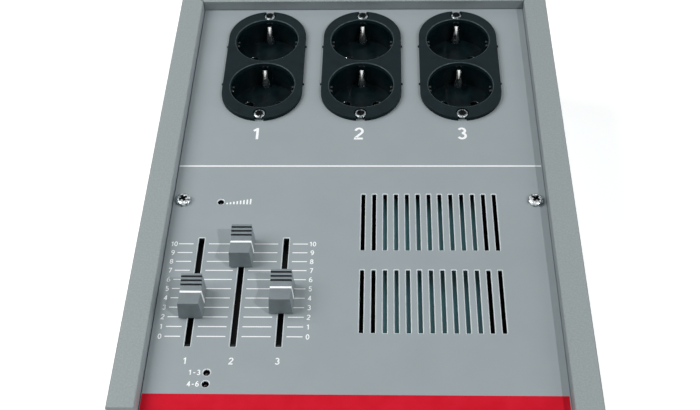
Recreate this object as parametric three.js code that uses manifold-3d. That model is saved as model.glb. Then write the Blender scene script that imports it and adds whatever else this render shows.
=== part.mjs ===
// Three-channel dimmer pack: a folded steel tray with raised rails, a drop-in top panel,
// three double mains outlets, three sliding faders, and the power and control parts inside.
// Millimetres. X runs to the right, Y to the back and Z up; the feet stand on Z = 0.
import * as THREE from "three";
import { mergeVertices } from "three/addons/utils/BufferGeometryUtils.js";
import Module from "manifold-3d";

const wasm = await Module();
wasm.setup();

// Steel tray, outside sizes
const caseWidth = 236;
const caseDepth = 318;
const caseHeight = 90; // underside of the floor to the top of the rails
const sheet = 1.2;
const bend = 1.6; // middle of the sheet at each fold
const tightBend = 0.9; // the fold in the corner where the panel lies
const railWidth = 14.2;
const backRailWidth = 14.6;
const ledgeWidth = 12; // the shelf under the panel's side edges
const backLedgeWidth = 8;
const frontLedgeWidth = 10;
const mitreGap = 0.9; // open seam between the side rails and the back rail

// Top panel
const panelDrop = 7; // rail top down to the panel's face
const panelSheet = 1.2;
const panelGap = 0.4; // between the panel's edges and the rails

// General clearances and cutting overrun
const fit = 0.3; // between two pieces that are made to fit each other
const over = 1; // how far a cutting tool runs past what it cuts
const overlap = 0.2; // how far two stretches of one piece run into each other

// Panel layout, measured from the outside of the case
const outlets = { count: 3, fromBack: 68.6 };
const outletGapShare = 0.1856; // of the panel width that the flanges leave free
const faders = { count: 3, fromLeft: 33.6, pitch: 22.95, zeroFromFront: 45.5, travel: 60 };
const faderStartShares = [0.34, 0.89, 0.39]; // where each fader stands on its travel
const faderSlot = { width: 3, endMargin: 3.1, towardsFront: 0.85 };
const vents = { fromLeft: 120.6, fromRight: 43.1, pitch: 6.025, width: 2.15, length: 40 };
const ventRows = { count: 2, fromFront: 68.2, pitch: 53.4 };
const panelScrew = { fromLip: 6.1, fromFront: 136.5, headRadius: 4.4, headHeight: 2.6, shankRadius: 1.9 };
const panelScrewShape = { rimShare: 0.35, crownShare: 0.55, length: 11, recessWidth: 1.1, recessSpan: 5 };
const overloadLight = { fromLeft: 41.3, fromFront: 135.7 };
const bankLights = { fromLeft: 45.15, fromFront: 17.6, pitch: 6.6 };
const lightHoleRadius = 1.75;

// Double outlet: a round-ended flange over two plug recesses
const flange = { rim: 4.9, end: 8.05, thickness: 2.6, bevel: 0.9 };
const recess = { radius: 19.55, depth: 17.5, web: 2.5, floor: 3 };
const outletWall = 1.6;
const outletBodyDepth = 34; // panel face down to the open back of the moulding
const outletCover = { thickness: 2.5, rimHeight: 3, rimWall: 1.4, wireHoleRadius: 2.4, wireHolePitch: 11 };
const outletScrew = { fromEnd: 3.7, seatRadius: 3.9, seatDepth: 1.7, holeRadius: 1.6 };
const pinHole = { radius: 2.6, fromCentre: 9.5 };
const guideRib = { reach: 2, width: 5.2, belowFlange: 3.5 };
const earthStrip = { width: 5, thickness: 0.8, armFromWall: 1.65, armBelowFlange: 4.5, bulge: 1.3 };
const earthArmBendShares = [0.25, 0.6];
const earthSlot = { width: 6, length: 2 };
const contactStrip = { width: 6, thickness: 0.8, leafFromPin: 2.7, leafGap: 0.6, baseDrop: 11.2, overhang: 4 };

// Slide potentiometer and its cap
const track = { width: 9, height: 7, wall: 0.8, slotWidth: 3.4 };
const carriage = { length: 10, stopGap: 0.5 };
const lever = { width: 1.2, length: 4, top: 8 };
const cap = { width: 12.4, topWidth: 10.7, length: 19.6, topLength: 18.6, gap: 0.8 };
const capTop = { valley: 10, rear: 13.6, front: 12.6 }; // heights above the panel face
const capGroove = { count: 3, pitch: 2.03, width: 1, depth: 0.8, first: 3.65 };
const faderMargin = { end: 2, side: 0.5 };

// Indicator light
const light = { radius: 1.5, collarRadius: 1.9, collarHeight: 3.4, belowFace: 1.1 };

// Control board under the faders
const board = 1.6;
const controlBoard = { fromLedge: 0.8, fromFaders: 12, fromFront: 13, toBack: 141 };
const stud = { radius: 2.4, frontFromFront: 31, backFromFront: 119 };
const header = { width: 18, length: 7, height: 6 };
const ribbon = { width: 15, thickness: 1.2, bend: 8, topFromFront: 89, bottomFromFront: 64, dropShares: [0.35, 0.6] };

// Power board on pillars over the floor
const powerBoard = { fromLeft: 59, fromRight: 16, fromFront: 37, fromBack: 47 };
const pillar = { radius: 3, height: 8, inset: 9 };
const heatSink = { sideInset: 9, endOverhang: 6.3, belowPanel: 10, top: 4, wall: 3.5 };
const fin = { pitch: 7.3, thickness: 1.8, overBoard: 12 };
const triac = { count: 3, width: 15.5, height: 20, thickness: 4.8, pitch: 30, legWidth: 1.2, legPitch: 5.4 };
const triacLift = 8; // underside of the package over the board
const choke = { count: 3, gap: 9.7, height: 18, fromSink: 8 };
const chokeShape = { holeShare: 0.41, cornerShare: 0.38 };
const filmCapacitor = { width: 10, length: 26, height: 19, fromTriac: 8 };
const terminalBlock = { width: 34, length: 14, height: 16, fromRight: 40, fromEdge: 9, ways: 4, wireRadius: 2.6 };
const transformer = { width: 42, length: 50, height: 35, fromLeft: 32, fromFront: 165, stack: 20 };
const transformerBobbin = { overhang: 6, sideShare: 0.72, foot: 3, footLength: 9, footHoleRadius: 2 };

// Back wall fittings, all centred on one line
const fittingHeight = 34; // above the surface that the case stands on
const gland = { fromRight: 30, threadRadius: 10, boreRadius: 6, across: 24, flange: 5, insideLength: 13 };
const glandNeck = { radius: 8.6, length: 9 };
const domeNut = { length: 17, mouthRadius: 4.8, domeShare: 0.55, lipRadius: 8.2, wall: 2.2 };
const lockNut = { thickness: 5 };
const fuse = { count: 3, bodyRadius: 6.2, flangeRadius: 8.6, flange: 3, length: 36 };
const fuseCarrier = { radius: 7, length: 10, stemRadius: 3.6, stemLength: 26, slotWidth: 1.6, slotDepth: 1.4 };
const controlSocket = { fromLeft: 44, pitch: 32, shellRadius: 7.6, shellWall: 0.9, insertRadius: 5.6, depth: 15 };
const controlPlate = { width: 28, height: 19, thickness: 1.2, corner: 3, screwPitch: 22, screwRadius: 1.6 };
const controlFace = { insertSetBack: 1, grooveDepth: 8 };
const bankSwitch = { fromLeft: 17, travel: 3, knobWidth: 4, knobHeight: 3.4, knobReach: 3.2 };
const bankSwitchBody = { width: 16, height: 7.4, depth: 8, wall: 1, footWidth: 7, footThickness: 2.4 };

// Feet
const foot = { radius: 9.5, baseRadius: 8.2, height: 8, inset: 22, wellRadius: 4.6, wellDepth: 4.5, holeRadius: 2 };

// Facets: a whole turn of a small, middling or wide round form, and a quarter turn of a bend
const bendSteps = 3;
const smallSteps = 10;
const midSteps = 14;
const wideSteps = 24;
const hiddenSteps = 16; // wide round forms inside the case
const facetsPerCurveStep = 4; // an outline's half turn gets two facets for each of its steps

// Levels and lines that follow from the sizes above
const floorUnderZ = foot.height;
const floorTopZ = floorUnderZ + sheet;
const railTopZ = floorUnderZ + caseHeight;
const panelTopZ = railTopZ - panelDrop;
const panelUnderZ = panelTopZ - panelSheet;
const controlBoardTopZ = panelUnderZ - track.height;
const controlBoardUnderZ = controlBoardTopZ - board;
const powerBoardUnderZ = floorTopZ + pillar.height;
const powerBoardTopZ = powerBoardUnderZ + board;
const lipX = caseWidth / 2 - railWidth;
const ledgeX = lipX - ledgeWidth;
const backY = caseDepth / 2;
const frontY = -caseDepth / 2;
const lipY = backY - backRailWidth;
const recessPitch = 2 * recess.radius + recess.web;
const flangeWidth = 2 * (recess.radius + flange.rim);
const flangeLength = recessPitch + 2 * (recess.radius + flange.end);
const outletScrewY = flangeLength / 2 - outletScrew.fromEnd;
const earthArmY = recess.radius - earthStrip.armFromWall;

const fromLeft = (distance) => -caseWidth / 2 + distance;
const fromRight = (distance) => caseWidth / 2 - distance;
const fromFront = (distance) => frontY + distance;
const fromBack = (distance) => backY - distance;
const numbers = (count) => Array.from({ length: count }, (_, i) => i);
const spread = (count, pitch) => numbers(count).map((i) => (i - (count - 1) / 2) * pitch);

// Closed geometry to a solid, and back
function solid(geometry) {
  geometry.deleteAttribute("normal");
  geometry.deleteAttribute("uv");
  const merged = mergeVertices(geometry);
  return new wasm.Manifold(
    new wasm.Mesh({
      numProp: 3,
      vertProperties: merged.attributes.position.array,
      triVerts: new Uint32Array(merged.index.array),
    }),
  );
}

function geometryOf(body) {
  const mesh = body.getMesh();
  const geometry = new THREE.BufferGeometry();
  geometry.setAttribute("position", new THREE.BufferAttribute(mesh.vertProperties, mesh.numProp));
  geometry.setIndex(new THREE.BufferAttribute(mesh.triVerts, 1));
  const flat = geometry.toNonIndexed();
  flat.computeVertexNormals();
  return flat;
}

const join = (...bodies) => bodies.flat().reduce((sum, body) => sum.add(body));
const cut = (body, ...tools) => tools.flat().reduce((rest, tool) => rest.subtract(tool), body);

// A block between two corners
function block(x0, x1, y0, y1, z0, z1) {
  const geometry = new THREE.BoxGeometry(x1 - x0, y1 - y0, z1 - z0);
  geometry.translate((x0 + x1) / 2, (y0 + y1) / 2, (z0 + z1) / 2);
  return solid(geometry);
}

// A block centred on x and y
const post = (x, y, width, length, z0, z1) =>
  block(x - width / 2, x + width / 2, y - length / 2, y + length / 2, z0, z1);

// An outline in X and Y raised from z0 to z1
function plate(shape, z0, z1, steps = hiddenSteps) {
  const curveSegments = steps / facetsPerCurveStep;
  const geometry = new THREE.ExtrudeGeometry(shape, { depth: z1 - z0, bevelEnabled: false, curveSegments });
  geometry.translate(0, 0, z0);
  return solid(geometry);
}

// An outline in Y and Z run along X
function alongX(shape, x0, x1) {
  const geometry = new THREE.ExtrudeGeometry(shape, { depth: x1 - x0, bevelEnabled: false, curveSegments: bendSteps });
  geometry.rotateX(Math.PI / 2);
  geometry.rotateZ(Math.PI / 2);
  geometry.translate(x0, 0, 0);
  return solid(geometry);
}

// An outline in X and Z run along Y
function alongY(shape, y0, y1) {
  const geometry = new THREE.ExtrudeGeometry(shape, { depth: y1 - y0, bevelEnabled: false, curveSegments: bendSteps });
  geometry.rotateX(Math.PI / 2);
  geometry.translate(0, y1, 0);
  return solid(geometry);
}

// A profile of [radius, height] pairs, from the bottom up, turned about Z
function turned(profile, steps) {
  const points = profile.map(([radius, height]) => new THREE.Vector2(radius, height));
  const geometry = new THREE.LatheGeometry(points, steps);
  geometry.rotateX(Math.PI / 2);
  return solid(geometry);
}

// A turned piece that points out of the back wall: height runs along Y from the wall's outer face
function turnedOnWall(profile, steps, x) {
  const points = profile.map(([radius, height]) => new THREE.Vector2(radius, height));
  const geometry = new THREE.LatheGeometry(points, steps);
  geometry.translate(x, backY, fittingHeight);
  return solid(geometry);
}

const rod = (radius, z0, z1, steps = smallSteps) =>
  turned([[0, z0], [radius, z0], [radius, z1], [0, z1]], steps);

const rodOnWall = (radius, y0, y1, x, steps = smallSteps) =>
  turnedOnWall([[0, y0], [radius, y0], [radius, y1], [0, y1]], steps, x);

function outline(points) {
  return new THREE.Shape(points.map(([x, y]) => new THREE.Vector2(x, y)));
}

function stadium(width, length) {
  const shape = new THREE.Shape();
  const straight = (length - width) / 2;
  shape.absarc(0, straight, width / 2, 0, Math.PI, false);
  shape.absarc(0, -straight, width / 2, Math.PI, Math.PI * 2, false);
  return shape;
}

function roundedPlate(width, height, corner) {
  const shape = new THREE.Shape();
  const x = width / 2 - corner;
  const y = height / 2 - corner;
  shape.absarc(x, y, corner, 0, Math.PI / 2, false);
  shape.absarc(-x, y, corner, Math.PI / 2, Math.PI, false);
  shape.absarc(-x, -y, corner, Math.PI, Math.PI * 1.5, false);
  shape.absarc(x, -y, corner, Math.PI * 1.5, Math.PI * 2, false);
  return shape;
}

// A hexagonal bar section, flats top and bottom
function hexagon(across) {
  const corner = across / Math.sqrt(3);
  return outline(numbers(6).map((i) => [corner * Math.cos((i * Math.PI) / 3), corner * Math.sin((i * Math.PI) / 3)]));
}

// The section of a folded sheet: its middle line, turned through an arc at each corner,
// where a corner may name a radius of its own
function folded(corners, thickness, usualRadius = bend) {
  const points = corners.map(([x, y]) => new THREE.Vector2(x, y));
  const side = (offset) => {
    const line = [];
    points.forEach((point, i) => {
      const before = i > 0 ? point.clone().sub(points[i - 1]).normalize() : null;
      const after = i < points.length - 1 ? points[i + 1].clone().sub(point).normalize() : null;
      if (!before || !after) {
        const along = before ?? after;
        line.push(new THREE.Vector2(point.x - along.y * offset, point.y + along.x * offset));
        return;
      }
      const radius = corners[i][2] ?? usualRadius;
      const turn = Math.sign(before.cross(after));
      const angle = before.angleTo(after);
      const setBack = radius * Math.tan(angle / 2);
      const start = point.clone().addScaledVector(before, -setBack);
      const centre = start.clone().add(new THREE.Vector2(-before.y, before.x).multiplyScalar(turn * radius));
      const spoke = start.clone().sub(centre).multiplyScalar((radius - turn * offset) / radius);
      const count = Math.max(1, Math.round((bendSteps * angle) / (Math.PI / 2)));
      for (const step of numbers(count + 1)) {
        const turnedSpoke = spoke.clone().rotateAround(new THREE.Vector2(), (turn * angle * step) / count);
        line.push(centre.clone().add(turnedSpoke));
      }
    });
    return line;
  };
  return new THREE.Shape([...side(-thickness / 2), ...side(thickness / 2).reverse()]);
}

const pack = new THREE.Group();

function addPiece(name, body, material) {
  const mesh = new THREE.Mesh(geometryOf(body), new THREE.MeshStandardMaterial(material));
  mesh.name = name;
  pack.add(mesh);
  return mesh;
}

const paintGrey = { color: 0x9ba2a2, roughness: 0.75, metalness: 0.1 };
const panelGrey = { color: 0x99a3a8, roughness: 0.5, metalness: 0.1 };
const blackPlastic = { color: 0x1b2325, roughness: 0.5, metalness: 0 };
const greyPlastic = { color: 0x969b9e, roughness: 0.45, metalness: 0 };
const zinc = { color: 0xc6c9cc, roughness: 0.35, metalness: 1 };
const brass = { color: 0xb9a05c, roughness: 0.4, metalness: 1 };
const aluminium = { color: 0xb4b8ba, roughness: 0.45, metalness: 1 };
const rubber = { color: 0x1d1d1e, roughness: 0.9, metalness: 0 };
const boardGreen = { color: 0x2f5a3c, roughness: 0.6, metalness: 0 };
const copper = { color: 0xa8623a, roughness: 0.45, metalness: 0.6 };
const steel = { color: 0x8d9194, roughness: 0.4, metalness: 1 };
const ribbonGrey = { color: 0xa9a9a4, roughness: 0.6, metalness: 0 };
const terminalGreen = { color: 0x3f6b4c, roughness: 0.5, metalness: 0 };
const clearRed = { color: 0x7a1a1c, roughness: 0.2, metalness: 0 };

const ventCount = Math.round((caseWidth - vents.fromLeft - vents.fromRight) / vents.pitch) + 1;
const ventXs = numbers(ventCount).map((i) => fromRight(vents.fromRight + i * vents.pitch));

// The vent slots, the same in the panel and in the floor below
function ventTools(z0, z1) {
  return numbers(ventRows.count).flatMap((row) =>
    ventXs.map((x) =>
      post(
        x,
        fromFront(ventRows.fromFront + row * ventRows.pitch),
        vents.width,
        vents.length,
        z0,
        z1,
      ),
    ),
  );
}

const outletGap = (2 * lipX - outlets.count * flangeWidth) * outletGapShare;
const outletXs = spread(outlets.count, flangeWidth + outletGap);
const outletY = fromBack(outlets.fromBack);
const faderXs = numbers(faders.count).map((i) => fromLeft(faders.fromLeft + i * faders.pitch));
const faderY = fromFront(faders.zeroFromFront + faders.travel / 2);
const faderStartYs = faderStartShares.map((share) => fromFront(faders.zeroFromFront + faders.travel * share));
const lightPlaces = {
  overload_light: [fromLeft(overloadLight.fromLeft), fromFront(overloadLight.fromFront)],
  bank_light_upper: [fromLeft(bankLights.fromLeft), fromFront(bankLights.fromFront + bankLights.pitch)],
  bank_light_lower: [fromLeft(bankLights.fromLeft), fromFront(bankLights.fromFront)],
};
const panelScrewXs = [-(lipX - panelScrew.fromLip), lipX - panelScrew.fromLip];
const panelScrewY = fromFront(panelScrew.fromFront);
const glandX = fromRight(gland.fromRight);
const controlSocketXs = [fromLeft(controlSocket.fromLeft), fromLeft(controlSocket.fromLeft + controlSocket.pitch)];
const fuseXs = numbers(fuse.count).map((i) => {
  const step = (glandX - controlSocketXs[1]) / (fuse.count + 1);
  return glandX - (i + 1) * step;
});
const bankSwitchX = fromLeft(bankSwitch.fromLeft);
const bankSwitchSlot = bankSwitch.knobWidth + bankSwitch.travel + 2 * fit;

const powerBoardX0 = fromLeft(powerBoard.fromLeft);
const powerBoardX1 = fromRight(powerBoard.fromRight);
const powerBoardY0 = fromFront(powerBoard.fromFront);
const powerBoardY1 = fromBack(powerBoard.fromBack);
const pillarPlaces = [powerBoardX0 + pillar.inset, powerBoardX1 - pillar.inset].flatMap((x) =>
  [powerBoardY0 + pillar.inset, (powerBoardY0 + powerBoardY1) / 2, powerBoardY1 - pillar.inset].map((y) => [x, y]),
);

// The tray: floor, walls, rails with their lips and shelves, all from one folded sheet
function makeTray() {
  const half = sheet / 2;
  const wallX = caseWidth / 2 - half;
  const railZ = railTopZ - half;
  const shelfZ = panelUnderZ - half;
  const floorZ = floorUnderZ + half;
  const rightSide = [
    [wallX, floorZ],
    [wallX, railZ],
    [lipX + half, railZ],
    [lipX + half, shelfZ, tightBend],
    [ledgeX, shelfZ],
  ];
  const leftSide = rightSide.map(([x, z, radius]) => [-x, z, radius]).reverse();
  const sides = alongY(folded([...leftSide, ...rightSide], sheet), frontY, backY);
  const back = alongX(
    folded(
      [
        [backY - half, floorUnderZ],
        [backY - half, railZ],
        [lipY + half, railZ],
        [lipY + half, shelfZ, tightBend],
        [lipY - backLedgeWidth, shelfZ],
      ],
      sheet,
    ),
    -caseWidth / 2,
    caseWidth / 2,
  );

  // The seam between rails runs from the outer corner through the lip's corner
  const run = ledgeWidth + railWidth + over;
  const slope = backRailWidth / railWidth;
  const seam = (shift) => [
    [caseWidth / 2, backY - shift],
    [caseWidth / 2 - run, backY - shift - run * slope],
  ];
  const seamZ0 = panelUnderZ - sheet - over;
  const seamZ1 = railTopZ + over;
  const mirrored = (points) => points.map(([x, y]) => [-x, y]).reverse();
  const behind = [...seam(mitreGap / 2), [caseWidth / 2 - run, backY + over], [caseWidth / 2, backY + over]].reverse();
  const ahead = [...seam(-mitreGap / 2), [caseWidth / 2 + over, backY - run * slope], [caseWidth / 2 + over, backY]];
  const sideCuts = [behind, mirrored(behind)].map((points) => plate(outline(points), seamZ0, seamZ1));
  const backCuts = [ahead, mirrored(ahead)].map((points) => plate(outline(points), seamZ0, seamZ1));

  // The front wall folds in under the panel, and beside the panel it closes the rails' ends
  const frontWall = alongX(
    folded(
      [
        [frontY + half, floorUnderZ],
        [frontY + half, shelfZ],
        [frontY + frontLedgeWidth, shelfZ],
      ],
      sheet,
    ),
    -lipX - half,
    lipX + half,
  );
  const railEnds = [-1, 1].map((side) =>
    block(
      Math.min(side * lipX, side * wallX),
      Math.max(side * lipX, side * wallX),
      frontY,
      frontY + sheet,
      floorUnderZ + half,
      railZ,
    ),
  );

  const pillars = pillarPlaces.map(([x, y]) =>
    rod(pillar.radius, floorTopZ - overlap, powerBoardUnderZ).translate([x, y, 0]),
  );
  const body = join(cut(sides, sideCuts), cut(back, backCuts), frontWall, railEnds, pillars);

  const floorTools = [
    ...ventTools(floorUnderZ - over, floorTopZ + over),
    ...footXYs().map(([x, y]) => rod(foot.holeRadius, floorUnderZ - over, floorTopZ + over).translate([x, y, 0])),
  ];
  const wallTools = [
    rodOnWall(gland.threadRadius + fit, -sheet - over, over, glandX, midSteps),
    ...fuseXs.map((x) => rodOnWall(fuse.bodyRadius + fit, -sheet - over, over, x, midSteps)),
    ...controlSocketXs.map((x) => rodOnWall(controlSocket.shellRadius + fit, -sheet - over, over, x, midSteps)),
    wallBlock(bankSwitchX, bankSwitchSlot, bankSwitch.knobHeight + 2 * fit, -sheet - over, over),
  ];
  const shelfTools = panelScrewXs.map((x) =>
    rod(panelScrew.shankRadius + fit, panelUnderZ - sheet - over, panelUnderZ + over).translate([x, panelScrewY, 0]),
  );
  return cut(body, floorTools, wallTools, shelfTools);
}

// A block on the back wall, centred on x and on the line of the fittings
function wallBlock(x, width, height, y0, y1) {
  return block(
    x - width / 2,
    x + width / 2,
    backY + y0,
    backY + y1,
    fittingHeight - height / 2,
    fittingHeight + height / 2,
  );
}

function footXYs() {
  const x = caseWidth / 2 - foot.inset;
  const y = caseDepth / 2 - foot.inset;
  return [
    [-x, -y],
    [x, -y],
    [-x, y],
    [x, y],
  ];
}

// The panel: a flat plate between the lips, with pressed studs for the control board
function makePanel() {
  const edgeX = lipX - panelGap;
  const rearY = lipY - panelGap;
  const flat = block(-edgeX, edgeX, frontY, rearY, panelUnderZ, panelTopZ);
  const studs = studPlaces().map(([x, y]) =>
    rod(stud.radius, controlBoardTopZ, panelUnderZ + overlap).translate([x, y, 0]),
  );
  const through = [panelUnderZ - over, panelTopZ + over];
  const bodyWidth = 2 * (recess.radius + outletWall) + 2 * fit;
  const outletTools = outletXs.flatMap((x) => [
    plate(stadium(bodyWidth, recessPitch + bodyWidth), ...through).translate([x, outletY, 0]),
    ...[-outletScrewY, outletScrewY].map((y) =>
      rod(outletScrew.holeRadius, ...through).translate([x, outletY + y, 0]),
    ),
  ]);
  const slotY = faderY - faderSlot.towardsFront;
  const slotLength = faders.travel + lever.length + 2 * faderSlot.endMargin;
  const slotTools = faderXs.map((x) => post(x, slotY, faderSlot.width, slotLength, ...through));
  const lightTools = Object.values(lightPlaces).map(([x, y]) =>
    rod(lightHoleRadius, ...through, smallSteps).translate([x, y, 0]),
  );
  const screwTools = panelScrewXs.map((x) =>
    rod(panelScrew.shankRadius + fit, ...through).translate([x, panelScrewY, 0]),
  );
  return cut(join(flat, studs), outletTools, slotTools, lightTools, screwTools, ventTools(...through));
}

function studPlaces() {
  const xs = [(faderXs[0] + faderXs[1]) / 2, (faderXs[1] + faderXs[2]) / 2];
  return xs.flatMap((x) => [stud.frontFromFront, stud.backFromFront].map((y) => [x, fromFront(y)]));
}

function makePanelScrew() {
  const head = turned(
    [
      [0, 0],
      [panelScrew.headRadius, 0],
      [panelScrew.headRadius, panelScrew.headHeight * panelScrewShape.rimShare],
      [panelScrew.headRadius * (1 - panelScrewShape.rimShare / 2), panelScrew.headHeight * (1 - panelScrewShape.rimShare / 2)],
      [panelScrew.headRadius * panelScrewShape.crownShare, panelScrew.headHeight],
      [0, panelScrew.headHeight],
    ],
    midSteps,
  );
  const shank = rod(panelScrew.shankRadius, -panelScrewShape.length, overlap);
  const recessZ = panelScrew.headHeight * panelScrewShape.crownShare;
  const { recessWidth, recessSpan } = panelScrewShape;
  const cross = [
    post(0, 0, recessWidth, recessSpan, recessZ, panelScrew.headHeight + over),
    post(0, 0, recessSpan, recessWidth, recessZ, panelScrew.headHeight + over),
  ];
  return cut(join(head, shank), cross);
}

function makeFoot() {
  return turned(
    [
      [foot.wellRadius, 0],
      [foot.baseRadius, 0],
      [foot.radius, foot.height],
      [foot.holeRadius, foot.height],
      [foot.holeRadius, foot.wellDepth],
      [foot.wellRadius, foot.wellDepth],
      [foot.wellRadius, 0],
    ],
    midSteps,
  );
}

// Outlet pieces, each about the outlet's centre with the panel's face at Z = 0
const bodyRadius = recess.radius + outletWall;
const recessYs = [-recessPitch / 2, recessPitch / 2];
const recessFloorZ = flange.thickness - recess.depth;
const chamberTopZ = recessFloorZ - recess.floor;
const chamberWidth = 2 * recess.radius;

function makeOutletBody() {
  const flangeShape = stadium(flangeWidth - 2 * flange.bevel, flangeLength - 2 * flange.bevel);
  const bevelled = new THREE.ExtrudeGeometry(flangeShape, {
    depth: flange.thickness,
    bevelEnabled: true,
    bevelThickness: flange.bevel,
    bevelSize: flange.bevel,
    bevelSegments: bendSteps,
    curveSegments: wideSteps / facetsPerCurveStep,
  });
  bevelled.translate(0, 0, -flange.bevel);
  const below = post(0, 0, flangeWidth + over, flangeLength + over, -flange.bevel - over, 0);
  const rim = cut(solid(bevelled), below);
  const body = plate(stadium(2 * bodyRadius, recessPitch + 2 * bodyRadius), -outletBodyDepth, overlap);
  const chamber = plate(stadium(chamberWidth, recessPitch + chamberWidth), -outletBodyDepth - over, chamberTopZ);
  const ribZ = flange.thickness - guideRib.belowFlange;
  const ribX = recess.radius - guideRib.reach;
  const recessTools = recessYs.map((y) => {
    const round = rod(recess.radius, recessFloorZ, flange.thickness + over, wideSteps);
    const ribs = [-1, 1].map((side) =>
      post(side * (ribX + recess.radius / 2), 0, recess.radius, guideRib.width, recessFloorZ - over, ribZ),
    );
    return cut(round, ribs).translate([0, y, 0]);
  });
  const floorTools = recessYs.flatMap((y) => [
    ...[-pinHole.fromCentre, pinHole.fromCentre].map((x) =>
      rod(pinHole.radius, chamberTopZ - over, recessFloorZ + over).translate([x, y, 0]),
    ),
    ...[-earthArmY, earthArmY].map((arm) =>
      post(0, y + arm, earthSlot.width, earthSlot.length, chamberTopZ - over, recessFloorZ + over),
    ),
  ]);
  const screwTools = [-outletScrewY, outletScrewY].flatMap((y) => [
    rod(outletScrew.seatRadius, flange.thickness - outletScrew.seatDepth, flange.thickness + over, midSteps).translate([
      0,
      y,
      0,
    ]),
    rod(outletScrew.holeRadius, -over, flange.thickness + over).translate([0, y, 0]),
  ]);
  return cut(join(rim, body), chamber, recessTools, floorTools, screwTools);
}

function makeOutletCover() {
  const top = -outletBodyDepth;
  const under = top - outletCover.thickness;
  const lid = plate(stadium(2 * bodyRadius, recessPitch + 2 * bodyRadius), under, top);
  const rimWidth = chamberWidth - 2 * fit;
  const hollowWidth = rimWidth - 2 * outletCover.rimWall;
  const rim = cut(
    plate(stadium(rimWidth, recessPitch + rimWidth), top - overlap, top + outletCover.rimHeight),
    plate(stadium(hollowWidth, recessPitch + hollowWidth), top - 2 * overlap, top + outletCover.rimHeight + over),
  );
  const stripUnder = chamberTopZ - contactStrip.baseDrop - contactStrip.thickness;
  const benches = [-pinHole.fromCentre, pinHole.fromCentre].map((x) =>
    post(x, 0, contactStrip.width, recessPitch, top - overlap, stripUnder),
  );
  const wireTools = spread(3, outletCover.wireHolePitch).map((y) =>
    rod(outletCover.wireHoleRadius, under - over, top + over).translate([0, y, 0]),
  );
  return cut(join(lid, rim, benches), wireTools);
}

// The earth strip runs under both recesses and stands up as a sprung arm at the ends of each
function makeEarthStrip() {
  const { thickness, bulge, width } = earthStrip;
  const armTop = flange.thickness - earthStrip.armBelowFlange;
  const rise = armTop - chamberTopZ;
  const arms = recessYs.flatMap((y) =>
    [-1, 1].map((side) => {
      const outer = y + side * (earthArmY + thickness / 2);
      const inward = (distance) => outer - side * distance;
      const [low, high] = earthArmBendShares.map((share) => chamberTopZ + rise * share);
      const points = [
        [inward(0), chamberTopZ - thickness],
        [inward(0), low],
        [inward(bulge), high],
        [inward(0), armTop],
        [inward(thickness), armTop],
        [inward(bulge + thickness), high],
        [inward(thickness), low],
        [inward(thickness), chamberTopZ - thickness],
      ];
      return alongX(outline(side > 0 ? points.reverse() : points), -width / 2, width / 2);
    }),
  );
  const reach = recessPitch / 2 + earthArmY + thickness / 2;
  const base = post(0, 0, width, 2 * reach, chamberTopZ - thickness, chamberTopZ);
  return join(base, arms);
}

// A live or neutral strip: a bar with a pair of spring leaves under each pin hole
function makeContactStrip() {
  const { width, thickness, leafFromPin, leafGap, baseDrop, overhang } = contactStrip;
  const baseTop = chamberTopZ - baseDrop;
  const bar = post(0, 0, width, recessPitch + 2 * (leafFromPin + overhang), baseTop - thickness, baseTop);
  const leaves = recessYs.flatMap((y) =>
    [-leafFromPin, leafFromPin].map((leaf) =>
      post(0, y + leaf, width, thickness, baseTop - overlap, chamberTopZ - leafGap),
    ),
  );
  return join(bar, leaves);
}

// Fader pieces, each about the middle of its own length with the panel's underside at Z = 0
const cavityLength = faders.travel + carriage.length + 2 * carriage.stopGap;
const trackSlotLength = faders.travel + lever.length + 2 * faderMargin.end;

function makeTrack() {
  const length = cavityLength + 2 * track.wall;
  const shell = post(0, 0, track.width, length, -track.height, 0);
  const hollow = post(0, 0, track.width - 2 * track.wall, cavityLength, -track.height + track.wall, -track.wall);
  const slot = post(0, 0, track.slotWidth, trackSlotLength, -track.wall - over, over);
  return cut(shell, hollow, slot);
}

function makeCarriage() {
  const width = track.width - 2 * track.wall - 2 * faderMargin.side;
  const top = -track.wall - fit;
  const slider = post(0, 0, width, carriage.length, -track.height + track.wall, top);
  const tongue = post(0, 0, lever.width, lever.length, top - overlap, panelSheet + lever.top);
  return join(slider, tongue);
}

// The cap's side view: three grooves on the slope behind the mark, a plain slope in front
function capProfile() {
  const rearEnd = cap.length / 2 + over;
  const rearSlope = (capTop.rear - capTop.valley) / (cap.topLength / 2);
  const frontSlope = (capTop.front - capTop.valley) / (cap.topLength / 2);
  const surface = (y) => capTop.valley + (y > 0 ? y * rearSlope : -y * frontSlope);
  const top = [[-rearEnd, surface(-rearEnd)], [0, capTop.valley]];
  for (const i of numbers(capGroove.count)) {
    const y = capGroove.first + i * capGroove.pitch;
    const half = capGroove.width / 2;
    top.push([y - half, surface(y - half)]);
    top.push([y - half, surface(y) - capGroove.depth]);
    top.push([y + half, surface(y) - capGroove.depth]);
    top.push([y + half, surface(y + half)]);
  }
  top.push([rearEnd, surface(rearEnd)]);
  return outline([[-rearEnd, cap.gap], [rearEnd, cap.gap], ...top.reverse()]);
}

// A block that narrows evenly from its foot to its top, on all four sides
function taperedBlock(width, length, topWidth, topLength, z0, z1) {
  const geometry = new THREE.BoxGeometry(width, length, z1 - z0);
  const position = geometry.attributes.position;
  for (const i of numbers(position.count)) {
    if (position.getZ(i) > 0) {
      position.setX(i, (position.getX(i) * topWidth) / width);
      position.setY(i, (position.getY(i) * topLength) / length);
    }
  }
  geometry.translate(0, 0, (z0 + z1) / 2);
  return solid(geometry);
}

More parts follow.
